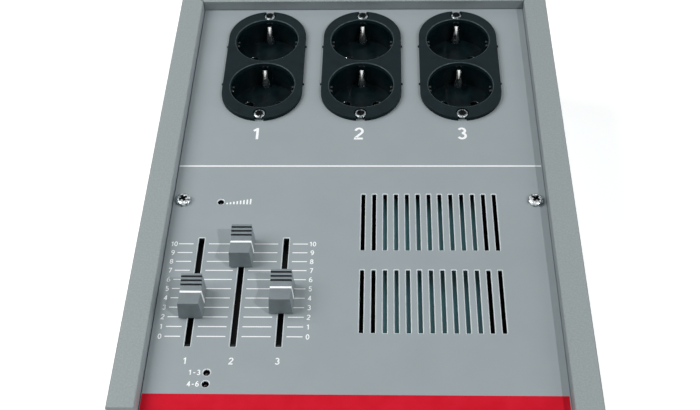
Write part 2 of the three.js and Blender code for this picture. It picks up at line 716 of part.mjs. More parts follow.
// About the cap's middle, with the panel's face at Z = 0
function makeCap() {
  const crest = Math.max(capTop.rear, capTop.front);
  const block = taperedBlock(cap.width, cap.length, cap.topWidth, cap.topLength, cap.gap, crest);
  const profile = alongX(capProfile(), -cap.width / 2 - over, cap.width / 2 + over);
  const socket = post(0, 0, lever.width + 2 * fit, lever.length + 2 * fit, 0, lever.top);
  return cut(block.intersect(profile), socket);
}

// An indicator light standing on the control board, its dome just below the panel's face
function makeLight() {
  const tip = panelTopZ - light.belowFace;
  const shoulder = tip - light.radius;
  const collar = controlBoardTopZ + light.collarHeight;
  const dome = numbers(bendSteps * 2).map((i) => {
    const angle = ((i + 1) * Math.PI) / 2 / (bendSteps * 2);
    return [light.radius * Math.cos(angle), shoulder + light.radius * Math.sin(angle)];
  });
  dome[dome.length - 1] = [0, tip];
  return turned(
    [
      [0, controlBoardTopZ],
      [light.collarRadius, controlBoardTopZ],
      [light.collarRadius, collar],
      [light.radius, collar],
      [light.radius, shoulder],
      ...dome,
    ],
    smallSteps,
  );
}

function headerXY() {
  const x = (faderXs[1] + faderXs[2]) / 2;
  return { x, topY: fromFront(ribbon.topFromFront), bottomY: fromFront(ribbon.bottomFromFront) };
}

function makeControlBoard() {
  const x0 = -ledgeX + controlBoard.fromLedge;
  const x1 = faderXs[faders.count - 1] + controlBoard.fromFaders;
  const flat = block(
    x0,
    x1,
    fromFront(controlBoard.fromFront),
    fromFront(controlBoard.toBack),
    controlBoardUnderZ,
    controlBoardTopZ,
  );
  const { x, topY } = headerXY();
  const socket = post(x, topY, header.width, header.length, controlBoardUnderZ - header.height, controlBoardUnderZ + overlap);
  return join(flat, socket);
}

function makePowerBoard() {
  const flat = block(powerBoardX0, powerBoardX1, powerBoardY0, powerBoardY1, powerBoardUnderZ, powerBoardTopZ);
  const { x, bottomY } = headerXY();
  const socket = post(x, bottomY, header.width, header.length, powerBoardTopZ - overlap, powerBoardTopZ + header.height);
  const { width, length, height, fromTriac } = filmCapacitor;
  const capacitorX = sinkX0 - triac.thickness - fromTriac - width / 2;
  const capacitors = triacYs.map((y) =>
    post(capacitorX, y, width, length, powerBoardTopZ - overlap, powerBoardTopZ + height),
  );
  return join(flat, socket, capacitors);
}

function makeRibbon() {
  const { x, topY, bottomY } = headerXY();
  const top = controlBoardUnderZ - header.height;
  const bottom = powerBoardTopZ + header.height;
  const [upper, lower] = ribbon.dropShares.map((share) => top - (top - bottom) * share);
  const section = folded([[bottomY, bottom], [bottomY, lower], [topY, upper], [topY, top]], ribbon.thickness, ribbon.bend);
  return alongX(section, x - ribbon.width / 2, x + ribbon.width / 2);
}

const ventMiddleY = fromFront(ventRows.fromFront + ((ventRows.count - 1) * ventRows.pitch) / 2);
const sinkX0 = ventXs[ventCount - 1] + heatSink.sideInset;
const sinkX1 = ventXs[0] - heatSink.sideInset;
const sinkLength = (ventRows.count - 1) * ventRows.pitch + vents.length + 2 * heatSink.endOverhang;
const triacYs = spread(triac.count, triac.pitch).map((offset) => ventMiddleY + offset);

// An extruded heat sink close under the vents: a flat top with fins that hang into the air
// from the floor's vents, a thick wall for the triacs and a thin one on the other side
function makeHeatSink() {
  const foot = powerBoardTopZ;
  const top = panelUnderZ - heatSink.belowPanel;
  const ceiling = top - heatSink.top;
  const finEnd = foot + fin.overBoard;
  const innerX = sinkX0 + heatSink.wall;
  const thinWallX = sinkX1 - fin.thickness;
  const gapCount = Math.round((sinkX1 - innerX) / fin.pitch);
  const pitch = (sinkX1 - innerX) / gapCount;
  const comb = numbers(gapCount - 1).flatMap((i) => {
    const right = innerX + (i + 1) * pitch;
    const left = right - fin.thickness;
    return [[left, ceiling], [left, finEnd], [right, finEnd], [right, ceiling]];
  });
  const section = outline([
    [sinkX0, foot],
    [innerX, foot],
    [innerX, ceiling],
    ...comb,
    [thinWallX, ceiling],
    [thinWallX, foot],
    [sinkX1, foot],
    [sinkX1, top],
    [sinkX0, top],
  ]);
  return alongY(section, ventMiddleY - sinkLength / 2, ventMiddleY + sinkLength / 2);
}

// A power package with its back on the heat sink's wall and three legs down to the board
function makeTriac(y) {
  const bottom = powerBoardTopZ + triacLift;
  const body = block(
    sinkX0 - triac.thickness,
    sinkX0,
    y - triac.width / 2,
    y + triac.width / 2,
    bottom,
    bottom + triac.height,
  );
  const legX = sinkX0 - triac.thickness / 2;
  const legs = spread(3, triac.legPitch).map((offset) =>
    post(legX, y + offset, triac.legWidth, triac.legWidth, powerBoardTopZ, bottom + overlap),
  );
  return join(body, legs);
}

// A wound ring core, lying flat on the board
function makeChoke(i) {
  const share = (powerBoardX1 - powerBoardX0) / choke.count;
  const radius = (share - choke.gap) / 2;
  const holeRadius = radius * chokeShape.holeShare;
  const corner = (radius - holeRadius) * chokeShape.cornerShare;
  const { height } = choke;
  const ring = turned(
    [
      [holeRadius, corner],
      [holeRadius + corner, 0],
      [radius - corner, 0],
      [radius, corner],
      [radius, height - corner],
      [radius - corner, height],
      [holeRadius + corner, height],
      [holeRadius, height - corner],
      [holeRadius, corner],
    ],
    midSteps,
  );
  const x = powerBoardX1 - (i + 1 / 2) * share;
  const y = ventMiddleY + sinkLength / 2 + choke.fromSink + radius;
  return ring.translate([x, y, powerBoardTopZ]);
}

// A laminated core with its bobbin, bolted to the floor by a strap with two ears
function makeTransformer() {
  const x = fromLeft(transformer.fromLeft);
  const y = fromFront(transformer.fromFront);
  const { width, length, height, stack } = transformer;
  const { overhang, sideShare, foot: ear, footLength, footHoleRadius } = transformerBobbin;
  const core = post(x, y, stack, length, floorTopZ, floorTopZ + height);
  const bobbinBottom = floorTopZ + overhang;
  const bobbin = post(x, y, width, length * sideShare, bobbinBottom, floorTopZ + height - overhang);
  const strap = post(x, y, stack, length + 2 * footLength, floorTopZ, floorTopZ + ear);
  const holes = [-1, 1].map((side) =>
    rod(footHoleRadius, floorTopZ - over, floorTopZ + ear + over).translate([
      x,
      y + side * (length / 2 + footLength / 2),
      0,
    ]),
  );
  return cut(join(core, bobbin, strap), holes);
}

function makeTerminalBlock() {
  const x = fromRight(terminalBlock.fromRight);
  const y = powerBoardY1 - terminalBlock.fromEdge;
  const { width, length, height, ways, wireRadius } = terminalBlock;
  const body = post(x, y, width, length, powerBoardTopZ, powerBoardTopZ + height);
  const holes = spread(ways, width / ways).map((offset) => {
    const tool = new THREE.CylinderGeometry(wireRadius, wireRadius, length / 2 + over, smallSteps);
    tool.translate(x + offset, y + length / 2 - (length / 2 - over) / 2, powerBoardTopZ + height / 2);
    return solid(tool);
  });
  return cut(body, holes);
}

// A hexagonal nut or flange on the back wall, from y0 to y1 out of the wall
function wallHexagon(across, y0, y1, x) {
  return alongY(hexagon(across), backY + y0, backY + y1).translate([x, 0, fittingHeight]);
}

function makeGland() {
  const inside = -sheet - gland.insideLength;
  const thread = rodOnWall(gland.threadRadius, inside, overlap, glandX, midSteps);
  const collar = wallHexagon(gland.across, 0, gland.flange, glandX);
  const neck = rodOnWall(glandNeck.radius, gland.flange - overlap, gland.flange + glandNeck.length, glandX, midSteps);
  const bore = rodOnWall(gland.boreRadius, inside - over, gland.flange + glandNeck.length + over, glandX, midSteps);
  return cut(join(thread, collar, neck), bore);
}

function makeDomeNut() {
  const y0 = gland.flange;
  const y1 = y0 + domeNut.length;
  const bend0 = y0 + domeNut.length * domeNut.domeShare;
  const outer = turnedOnWall(
    [
      [0, y0],
      [gland.across / 2, y0],
      [gland.across / 2, bend0],
      [domeNut.lipRadius, y1],
      [0, y1],
    ],
    midSteps,
    glandX,
  );
  const grips = wallHexagon(gland.across, y0, bend0, glandX);
  const socketRadius = glandNeck.radius + fit;
  const socketEnd = gland.flange + glandNeck.length + fit;
  const hollow = turnedOnWall(
    [
      [0, y0 - over],
      [socketRadius, y0 - over],
      [socketRadius, socketEnd],
      [domeNut.mouthRadius, y1 - domeNut.wall],
      [domeNut.mouthRadius, y1 + over],
      [0, y1 + over],
    ],
    midSteps,
    glandX,
  );
  return cut(join(outer, grips), hollow);
}

function makeLockNut() {
  const nut = wallHexagon(gland.across, -sheet - lockNut.thickness, -sheet, glandX);
  const bore = rodOnWall(gland.threadRadius + fit, -sheet - lockNut.thickness - over, over, glandX, midSteps);
  return cut(nut, bore);
}

function makeFuseHolder(x) {
  const inside = -sheet - fuse.length;
  const stemRadius = fuseCarrier.stemRadius + fit;
  return turnedOnWall(
    [
      [0, inside],
      [fuse.bodyRadius, inside],
      [fuse.bodyRadius, 0],
      [fuse.flangeRadius, 0],
      [fuse.flangeRadius, fuse.flange],
      [stemRadius, fuse.flange],
      [stemRadius, fuse.flange - fuseCarrier.stemLength - fit],
      [0, fuse.flange - fuseCarrier.stemLength - fit],
    ],
    midSteps,
    x,
  );
}

function makeFuseCarrier(x) {
  const { radius, length, stemRadius, stemLength, slotWidth, slotDepth } = fuseCarrier;
  const y0 = fuse.flange;
  const y1 = y0 + length;
  const body = turnedOnWall(
    [
      [0, y0 - stemLength],
      [stemRadius, y0 - stemLength],
      [stemRadius, y0],
      [radius, y0],
      [radius, y1 - slotDepth],
      [radius - slotDepth, y1],
      [0, y1],
    ],
    midSteps,
    x,
  );
  return cut(body, wallBlock(x, 2 * radius + over, slotWidth, y1 - slotDepth, y1 + over));
}

// A round multi-pole socket on a two-screw plate, with a ring-shaped gap for the plug's shell
function makeControlSocket(x) {
  const { shellRadius, shellWall, insertRadius, depth } = controlSocket;
  const flat = alongY(
    roundedPlate(controlPlate.width, controlPlate.height, controlPlate.corner),
    backY,
    backY + controlPlate.thickness,
  ).translate([x, 0, fittingHeight]);
  const shell = rodOnWall(shellRadius, -depth, controlPlate.thickness, x, midSteps);
  const groove = turnedOnWall(
    [
      [insertRadius, controlPlate.thickness - controlFace.grooveDepth],
      [shellRadius - shellWall, controlPlate.thickness - controlFace.grooveDepth],
      [shellRadius - shellWall, controlPlate.thickness + over],
      [insertRadius, controlPlate.thickness + over],
      [insertRadius, controlPlate.thickness - controlFace.grooveDepth],
    ],
    midSteps,
    x,
  );
  const face = rodOnWall(
    insertRadius + overlap,
    controlPlate.thickness - controlFace.insertSetBack,
    controlPlate.thickness + over,
    x,
    midSteps,
  );
  const holes = spread(2, controlPlate.screwPitch).map((offset) =>
    rodOnWall(controlPlate.screwRadius, -over, controlPlate.thickness + over, x + offset),
  );
  return cut(join(flat, shell), groove, face, holes);
}

function makeBankSwitchBody() {
  const { width, height, depth, wall, footThickness } = bankSwitchBody;
  const shell = wallBlock(bankSwitchX, width, height, -sheet - depth, -sheet);
  const roomWidth = bankSwitchBody.footWidth + bankSwitch.travel + 2 * fit;
  const room = wallBlock(bankSwitchX, roomWidth, height - 2 * wall, -sheet - footThickness - fit, -sheet + over);
  return cut(shell, room);
}

function makeBankSwitchSlider() {
  const { height, wall, footWidth, footThickness } = bankSwitchBody;
  const rest = bankSwitchX - bankSwitch.travel / 2;
  const foot = wallBlock(rest, footWidth, height - 2 * wall - 2 * fit, -sheet - footThickness - fit, -sheet - fit);
  const knob = wallBlock(
    rest,
    bankSwitch.knobWidth,
    bankSwitch.knobHeight,
    -sheet - fit - overlap,
    bankSwitch.knobReach,
  );
  return join(foot, knob);
}

addPiece("case_tray", makeTray(), paintGrey);
addPiece("front_panel", makePanel(), panelGrey);

["left", "right"].forEach((side, i) => {
  const screw = addPiece(`panel_screw_${side}`, makePanelScrew(), zinc);
  screw.position.set(panelScrewXs[i], panelScrewY, panelTopZ);
});

["front_left", "front_right", "rear_left", "rear_right"].forEach((corner, i) => {
  const [x, y] = footXYs()[i];
  addPiece(`foot_${corner}`, makeFoot(), rubber).position.set(x, y, 0);
});

outletXs.forEach((x, i) => {
  const outlet = new THREE.Group();
  outlet.position.set(x, outletY, panelTopZ);
  outlet.add(addPiece(`outlet_body_${i + 1}`, makeOutletBody(), blackPlastic));
  outlet.add(addPiece(`outlet_cover_${i + 1}`, makeOutletCover(), blackPlastic));
  outlet.add(addPiece(`outlet_earth_strip_${i + 1}`, makeEarthStrip(), zinc));
  const live = addPiece(`outlet_live_strip_${i + 1}`, makeContactStrip(), brass);
  const neutral = addPiece(`outlet_neutral_strip_${i + 1}`, makeContactStrip(), brass);
  live.position.x = -pinHole.fromCentre;
  neutral.position.x = pinHole.fromCentre;
  outlet.add(live, neutral);
  pack.add(outlet);
});

faderXs.forEach((x, i) => {
  addPiece(`fader_track_${i + 1}`, makeTrack(), steel).position.set(x, faderY, panelUnderZ);
  addPiece(`fader_carriage_${i + 1}`, makeCarriage(), blackPlastic).position.set(x, faderStartYs[i], panelUnderZ);
  addPiece(`fader_cap_${i + 1}`, makeCap(), greyPlastic).position.set(x, faderStartYs[i], panelTopZ);
});

Object.entries(lightPlaces).forEach(([name, [x, y]]) => {
  addPiece(name, makeLight(), clearRed).position.set(x, y, 0);
});

addPiece("control_board", makeControlBoard(), boardGreen);
addPiece("ribbon_cable", makeRibbon(), ribbonGrey);
addPiece("power_board", makePowerBoard(), boardGreen);
addPiece("heat_sink", makeHeatSink(), aluminium);
triacYs.forEach((y, i) => {
  addPiece(`triac_${i + 1}`, makeTriac(y), blackPlastic);
});
numbers(choke.count).forEach((i) => {
  addPiece(`choke_${i + 1}`, makeChoke(i), copper);
});
addPiece("transformer", makeTransformer(), steel);
addPiece("terminal_block", makeTerminalBlock(), terminalGreen);

addPiece("cable_gland", makeGland(), blackPlastic);
addPiece("gland_dome_nut", makeDomeNut(), blackPlastic);
addPiece("gland_lock_nut", makeLockNut(), blackPlastic);
fuseXs.forEach((x, i) => {
  addPiece(`fuse_holder_${i + 1}`, makeFuseHolder(x), blackPlastic);
  addPiece(`fuse_carrier_${i + 1}`, makeFuseCarrier(x), blackPlastic);
});
["in", "through"].forEach((name, i) => {
  addPiece(`control_socket_${name}`, makeControlSocket(controlSocketXs[i]), zinc);
});
addPiece("bank_switch_body", makeBankSwitchBody(), steel);
addPiece("bank_switch_slider", makeBankSwitchSlider(), blackPlastic);

// The origin is the middle of everything, with the fittings behind the back wall
const rearReach = gland.flange + domeNut.length;
pack.position.y = -rearReach / 2;

export default pack;
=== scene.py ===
# Stage lighting dimmer pack: what the eye sees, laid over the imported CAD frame.
# Shapes are written in millimetres, in the frame of the CAD model: X right, Y back, Z up.
import math

import bmesh
import bpy
from mathutils import Matrix, Vector


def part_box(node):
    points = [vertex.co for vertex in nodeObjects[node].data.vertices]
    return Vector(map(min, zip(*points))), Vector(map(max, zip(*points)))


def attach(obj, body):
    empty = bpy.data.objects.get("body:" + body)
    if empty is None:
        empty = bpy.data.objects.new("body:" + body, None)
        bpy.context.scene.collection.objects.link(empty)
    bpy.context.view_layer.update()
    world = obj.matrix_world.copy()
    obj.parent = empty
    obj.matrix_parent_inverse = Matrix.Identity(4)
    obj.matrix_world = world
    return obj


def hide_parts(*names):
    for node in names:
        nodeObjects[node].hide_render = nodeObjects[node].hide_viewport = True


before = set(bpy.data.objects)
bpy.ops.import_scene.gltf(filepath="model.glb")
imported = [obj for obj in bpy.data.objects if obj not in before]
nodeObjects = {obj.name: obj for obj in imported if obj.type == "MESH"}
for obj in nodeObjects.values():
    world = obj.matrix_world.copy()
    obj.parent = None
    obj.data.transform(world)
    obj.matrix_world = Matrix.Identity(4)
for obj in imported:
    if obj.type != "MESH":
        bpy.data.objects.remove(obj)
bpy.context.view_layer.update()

mm = 0.001
hair = 0.001  # millimetres, less than any step of a shape
overlap = 0.1  # millimetres that the parts of one piece run into each other
past = 1  # millimetres that a cutting shape reaches beyond what it cuts


def boxOf(node):
    low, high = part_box(node)
    return low / mm, high / mm


def middleOf(node):
    low, high = boxOf(node)
    return (low + high) / 2


trayLow, trayHigh = boxOf("case_tray")
panelLow, panelHigh = boxOf("front_panel")
panelTop = panelHigh.z
panelUnder = boxOf("fader_track_1")[1].z
backWall = trayHigh.y


# Finishes

def toLinear(hexColour):
    parts = [int(hexColour[i:i + 2], 16) / 255 for i in (1, 3, 5)]
    return [c / 12.92 if c <= 0.04045 else ((c + 0.055) / 1.055) ** 2.4 for c in parts] + [1]


# Adds one node: settings are its own properties, inputs are numbers, colours or links
def addNode(tree, kind, settings=None, inputs=None):
    node = tree.nodes.new("ShaderNode" + kind)
    for key, value in (settings or {}).items():
        if key == "stops":
            for stop, (spot, colour) in zip(node.color_ramp.elements, value):
                stop.position = spot
                stop.color = toLinear(colour)
        else:
            setattr(node, key, value)
    for key, value in (inputs or {}).items():
        if isinstance(value, bpy.types.NodeSocket):
            tree.links.new(value, node.inputs[key])
        else:
            node.inputs[key].default_value = value
    return node


finishes = {}
patches = {"detail": 4, "grainDetail": 2, "tint": (0.35, 0.65), "sheen": (0.3, 0.7)}


# A finish with patches of two near colours, a grain in relief and a gloss that wanders a little.
# Patch, grain and relief are sizes in millimetres, and gloss is the lowest and highest roughness
def newFinish(name, colours, patch, gloss, grain, relief, metallic=0.0, stretch=(1, 1, 1), shine=0.5):
    material = bpy.data.materials.new(name)
    material.use_nodes = True
    tree = material.node_tree
    shader = tree.nodes["Principled BSDF"]
    shader.inputs["Metallic"].default_value = metallic
    shader.inputs["Specular IOR Level"].default_value = shine
    spot = addNode(tree, "TexCoord").outputs["Object"]
    laid = addNode(tree, "Mapping", None, {"Vector": spot, "Scale": stretch}).outputs[0]
    spots = addNode(
        tree, "TexNoise", None, {"Vector": laid, "Scale": 1000 / patch, "Detail": patches["detail"]},
    ).outputs[0]
    tint = addNode(tree, "ValToRGB", {"stops": zip(patches["tint"], colours)}, {"Fac": spots})
    tree.links.new(tint.outputs[0], shader.inputs["Base Color"])
    (least, most), (low, high) = patches["sheen"], gloss
    sheen = addNode(
        tree, "MapRange", None,
        {"Value": spots, "From Min": least, "From Max": most, "To Min": low, "To Max": high},
    )
    tree.links.new(sheen.outputs[0], shader.inputs["Roughness"])
    pebbles = addNode(
        tree, "TexNoise", None, {"Vector": laid, "Scale": 1000 / grain, "Detail": patches["grainDetail"]},
    ).outputs[0]
    bump = addNode(tree, "Bump", None, {"Height": pebbles, "Strength": 1, "Distance": relief * mm})
    tree.links.new(bump.outputs[0], shader.inputs["Normal"])
    finishes[name] = material


# Baked textured enamel, sprayed: a fine pebble grain that keeps the rails from shining
newFinish("texturedEnamel", ("#8c9495", "#969e9f"), 0.9, (0.5, 0.66), 0.6, 0.04)

# Satin stove enamel on the panel, sprayed smooth: a faint orange peel that only softens highlights
newFinish("satinEnamel", ("#949da1", "#97a0a4"), 26, (0.36, 0.42), 2.4, 0.012)

# The same enamel, paler round a punched edge: a painted highlight along the rims of the slots
newFinish("rimHighlightEnamel", ("#ccd4d8", "#d6dde0"), 4, (0.26, 0.34), 1.2, 0.01)

# The same enamel made darker for the right and rear lips: painted shade
newFinish("shadedLipEnamel", ("#7b8386", "#7f878a"), 6, (0.38, 0.46), 1.8, 0.012)

# Steel, phosphated before the face was sprayed: dark and dull, and near black on the walls of the slots,
# where the dark is painted shade
newFinish("phosphateAndShadeSteel", ("#15191b", "#1e2325"), 2, (0.6, 0.75), 0.4, 0.02, shine=0.2)

# Screen print, white: dead flat and opaque over the enamel
newFinish("whiteInk", ("#fafcfd", "#ffffff"), 3, (0.5, 0.6), 0.4, 0.004)

# Screen print, red: flat, with the faint unevenness of one pull of the squeegee
newFinish("redInk", ("#ca1528", "#d01b2f"), 9, (0.6, 0.7), 0.5, 0.004, shine=0.08)

# Zinc plate on a cold-headed screw: bright and blue-white, with dark patches in its colour that are painted
# reflections
newFinish("zincWithPaintedReflections", ("#39464b", "#eef3f5"), 1.3, (0.12, 0.24), 0.9, 0.08, 1.0)

# The same plating on the outlets' screws, darker overall: painted shade of the counterbores they sit in, with
# the same painted reflections
newFinish("counterboreShadedZinc", ("#20292c", "#aab3b6"), 1.3, (0.16, 0.28), 0.9, 0.08, 1.0)

# Drive recess of a screw, coloured nearly black: painted shade of the recess
newFinish("shadedDriveRecess", ("#0a0d0e", "#23292c"), 0.8, (0.25, 0.4), 0.5, 0.02, 0.3)

# The same recess in the outlets' screws, darker still: painted shade, so that the light is lost in it
newFinish("deepShadedRecess", ("#030506", "#0e1213"), 0.8, (0.5, 0.65), 0.5, 0.02, shine=0.1)

# Polyamide, moulded against a spark-eroded face: an even satin that greys the black
newFinish("sparkedPolyamide", ("#101b1e", "#152226"), 5, (0.42, 0.52), 0.35, 0.02, shine=0.08)

# Polyamide, moulded against a polished core: deep gloss black down the walls of the recesses
newFinish("glossPolyamide", ("#031013", "#061519"), 6, (0.12, 0.2), 3, 0.02, shine=0.4)

# The same moulding on a recess's floor, dulled in patches by dust, and on the flange's side, where the dull
# dark is painted shade along the flange's foot
newFinish("dustAndShadePolyamide", ("#020c0f", "#0c1c20"), 7, (0.34, 0.5), 0.8, 0.02, shine=0.1)

# The same moulding at the rim of a recess, rubbed shiny by plugs, and paler there as a painted highlight
newFinish("rubbedAndHighlitPolyamide", ("#243438", "#2e4045"), 2, (0.24, 0.34), 0.5, 0.02, shine=0.25)

# Nickel plate on spring steel, blanked and bent: bright, a little streaked along the bend
newFinish("nickelPlate", ("#e4e6e6", "#f4f5f4"), 1.5, (0.22, 0.34), 0.7, 0.01, 1.0, (1, 1, 0.3))

# Brass strip, blanked and dulled by handling: warm, uneven gloss
newFinish("brassStrip", ("#a98b4a", "#bf9f5c"), 3, (0.3, 0.48), 0.6, 0.01, 1.0)

# Steel strip of the fader tracks, coloured near black: painted shade, so that no light comes back from inside
# the fader slots
newFinish("slotShadeSteel", ("#05080b", "#0b1014"), 4, (0.45, 0.6), 0.6, 0.01, 0.4)

# Acetal, moulded: waxy black that slides without grease
newFinish("acetal", ("#0d0e0f", "#141516"), 4, (0.4, 0.5), 0.5, 0.01)

# ABS, moulded and satin: cool mid grey, the faintest grain
newFinish("satinAbs", ("#747e82", "#7a8488"), 4, (0.34, 0.42), 0.4, 0.008)

# The same ABS, darker in the grooves: painted shade of the grooves
newFinish("grooveShadeAbs", ("#262c30", "#31383c"), 2, (0.5, 0.6), 0.4, 0.008)

# Tinted epoxy lens, cast: nearly black until lit, with a wet shine
newFinish("tintedEpoxy", ("#0e0304", "#140506"), 2, (0.04, 0.08), 2, 0.002, shine=0.3)

# Solder resist over glass laminate: glossy green, the tracks just showing through
newFinish("solderResist", ("#1e4a30", "#2b5f3e"), 4, (0.2, 0.34), 1.2, 0.03)

# Ribbon cable, extruded PVC: soft grey with a ridge for every wire
newFinish("ribbonPvc", ("#a3a39e", "#adada8"), 3, (0.4, 0.5), 1.3, 0.2, stretch=(1, 0.02, 0.02))

# Aluminium, extruded and anodised blue-green: fine draw lines along its length
newFinish("anodisedAluminium", ("#54848c", "#5d8f96"), 2, (0.42, 0.54), 0.5, 0.02, 0.3, (1, 0.06, 1))

# Epoxy, transfer moulded: matt black with a fine tooth
newFinish("epoxyPackage", ("#131415", "#1b1c1d"), 2, (0.5, 0.62), 0.3, 0.02)

# Copper wire, enamelled and dipped in dark varnish: brown, with a dull gleam
newFinish("enamelledCopper", ("#2a1a12", "#3d2619"), 2, (0.3, 0.42), 0.6, 0.03, 0.5)

# Silicon steel, punched and varnished: dark, with a brown film of varnish
newFinish("varnishedSteel", ("#3f3c38", "#565149"), 3, (0.3, 0.45), 0.5, 0.03, 0.6, (1, 1, 0.1))

# Polyester tape, wound over the transformer's coil: yellow and slightly shiny
newFinish("windingTape", ("#b98d2f", "#c79c3c"), 5, (0.22, 0.34), 2.5, 0.05, stretch=(0.1, 0.1, 1))

# Polyamide, moulded green: a plain satin on the terminal block
newFinish("greenPolyamide", ("#3a6647", "#437351"), 4, (0.36, 0.46), 0.4, 0.01)

# Nylon, moulded black: satin with a slight bloom
newFinish("mouldedNylon", ("#141516", "#1c1d1f"), 4, (0.34, 0.46), 0.4, 0.015)

# Phenolic, compression moulded: hard black, glossier than nylon
newFinish("mouldedPhenolic", ("#0c0b0b", "#131212"), 3, (0.16, 0.26), 2.2, 0.01)

# Nickel plate on a pressed socket shell: satin bright
newFinish("satinNickel", ("#b4b3ad", "#c6c5c0"), 2, (0.22, 0.34), 0.5, 0.01, 1.0)

# Tin plate on a pressed can: soft grey bright
newFinish("tinPlate", ("#a8aaab", "#b9bbbc"), 2, (0.28, 0.42), 0.5, 0.01, 1.0)

# Rubber, moulded: dead matt, a little dusty
newFinish("mouldedRubber", ("#151516", "#1e1e1f"), 3, (0.75, 0.88), 0.5, 0.03)

print("finishes made")


# Outlines and turns

def circle(x, y, radius, steps=64):
    turns = [2 * math.pi * i / steps for i in range(steps)]
    return [(x + radius * math.cos(a), y + radius * math.sin(a)) for a in turns]


def stadium(x, y, width, length, steps=48):
    radius = width / 2
    straight = (length - width) / 2
    turns = [math.pi * i / steps for i in range(steps + 1)]
    top = [(x + radius * math.cos(a), y + straight + radius * math.sin(a)) for a in turns]
    foot = [(x - radius * math.cos(a), y - straight - radius * math.sin(a)) for a in turns]
    return top + foot


def rectangle(x, y, width, length, corner, steps=4):
    points = []
    for sideX, sideY, start in ((1, 1, 0), (-1, 1, 90), (-1, -1, 180), (1, -1, 270)):
        cornerX = x + sideX * (width / 2 - corner)
        cornerY = y + sideY * (length / 2 - corner)
        turns = [math.radians(start + 90 * i / steps) for i in range(steps + 1)]
        points += [(cornerX + corner * math.cos(a), cornerY + corner * math.sin(a)) for a in turns]
    return points


# Moves a closed outline in by a distance, or out by a negative one, with mitred corners
def inset(points, distance):
    moved = []
    for i, point in enumerate(points):
        here = Vector(point)
        before = (here - Vector(points[i - 1])).normalized()
        after = (Vector(points[(i + 1) % len(points)]) - here).normalized()
        mitre = Vector((-before.y - after.y, before.x + after.x))
        moved.append(tuple(here + mitre * (2 * distance / max(mitre.length_squared, 0.5))))
    return moved


# Cosine and sine at each step of a quarter turn, from the first step to the end
def quarterTurn(steps):
    turns = [math.pi / 2 * i / steps for i in range(steps + 1)]
    return [(math.sin(turns[-1 - i]), math.sin(turns[i])) for i in range(1, steps + 1)]


# The two ends of a stretch on one side of a middle, the lower first
def spanOf(middle, side, near, far):
    return sorted((middle + side * near, middle + side * far))


# Swaps Y and Z, so that a flat-lying shape stands with its top to the rear
standing = Matrix(((1, 0, 0, 0), (0, 0, 1, 0), (0, 1, 0, 0), (0, 0, 0, 1)))


# Stands a flat-lying shape on the back wall, its own X running left as seen from the front
def onWall(x, z):
    return Matrix.Translation((x, backWall, z)) @ standing @ Matrix.Diagonal((-1, 1, 1, 1))


# Shapes

# Skins a run of rings, each joined to the next
def skin(bm, rings, paint=0):
    for lower, upper in zip(rings, rings[1:]):
        for i in range(len(lower)):
            j = (i + 1) % len(lower)
            bm.faces.new((lower[i], lower[j], upper[j], upper[i])).material_index = paint


# Skins one outline through levels, each a distance to move it in by and a height
def skinLevels(bm, outline, levels, paint=0):
    rings = [[bm.verts.new((x, y, z)) for x, y in inset(outline, move)] for move, z in levels]
    skin(bm, rings, paint)
    return rings


# A plate from z0 to z1 with rounded rims; each hole is an outline with its own rim radius
def addPlate(bm, outer, z0, z1, rim=0.0, holes=(), footRim=0.0, paint=0, steps=3):
    ends = [[], []]
    curve = quarterTurn(steps)
    for points, round0, round1, side in [(outer, footRim, rim, 1)] + [(hole, 0, r, -1) for hole, r in holes]:
        levels = [(side * round0 * (1 - c), z0 + round0 * (1 - s)) for c, s in reversed(curve) if round0]
        levels += [(0, z0 + round0), (0, z1 - round1)]
        levels += [(side * round1 * (1 - c), z1 - round1 + round1 * s) for c, s in curve if round1]
        rings = skinLevels(bm, points, levels, paint)
        ends[0].append(rings[0])
        ends[1].append(rings[-1])
    for rings in ends:
        if len(rings) == 1:
            bm.faces.new(rings[0]).material_index = paint
            continue
        edges = [bm.edges.get((vert, ring[i - 1])) for ring in rings for i, vert in enumerate(ring)]
        filled = bmesh.ops.triangle_fill(bm, use_beauty=True, edges=edges)
        for face in [g for g in filled["geom"] if isinstance(g, bmesh.types.BMFace)]:
            face.material_index = paint


# A turned piece: pairs of radius and height, from foot to top
def addTurned(bm, profile, at=(0, 0, 0), steps=64, paint=0, matrix=None):
    matrix = matrix or Matrix.Translation(at)
    rings = []
    for radius, height in profile:
        points = circle(0, 0, radius, steps) if radius else [(0, 0)]
        rings.append([bm.verts.new(matrix @ Vector((x, y, height))) for x, y in points])
    for lower, upper in zip(rings, rings[1:]):
        if len(lower) == len(upper) == 1:
            continue
        for i in range(steps):
            j = (i + 1) % steps
            corners = [lower[0]] if len(lower) == 1 else [lower[i], lower[j]]
            corners += [upper[0]] if len(upper) == 1 else [upper[j], upper[i]]
            bm.faces.new(corners).material_index = paint


# A rod from z0 to z1, left open at its top where another part covers that
def addRod(bm, radius, z0, z1, at=(0, 0, 0), steps=24, closed=False):
    addTurned(bm, [(0, z0), (radius, z0), (radius, z1)] + [(0, z1)] * closed, at, steps)


# A block with all its edges rounded
def addBlock(bm, x0, x1, y0, y1, z0, z1, rim=0.2, paint=0):
    outline = rectangle((x0 + x1) / 2, (y0 + y1) / 2, x1 - x0, y1 - y0, max(rim, 0.01), 3)
    edge = min(rim * 0.95, (z1 - z0) / 2.1)
    addPlate(bm, outline, z0, z1, edge, footRim=edge, paint=paint)


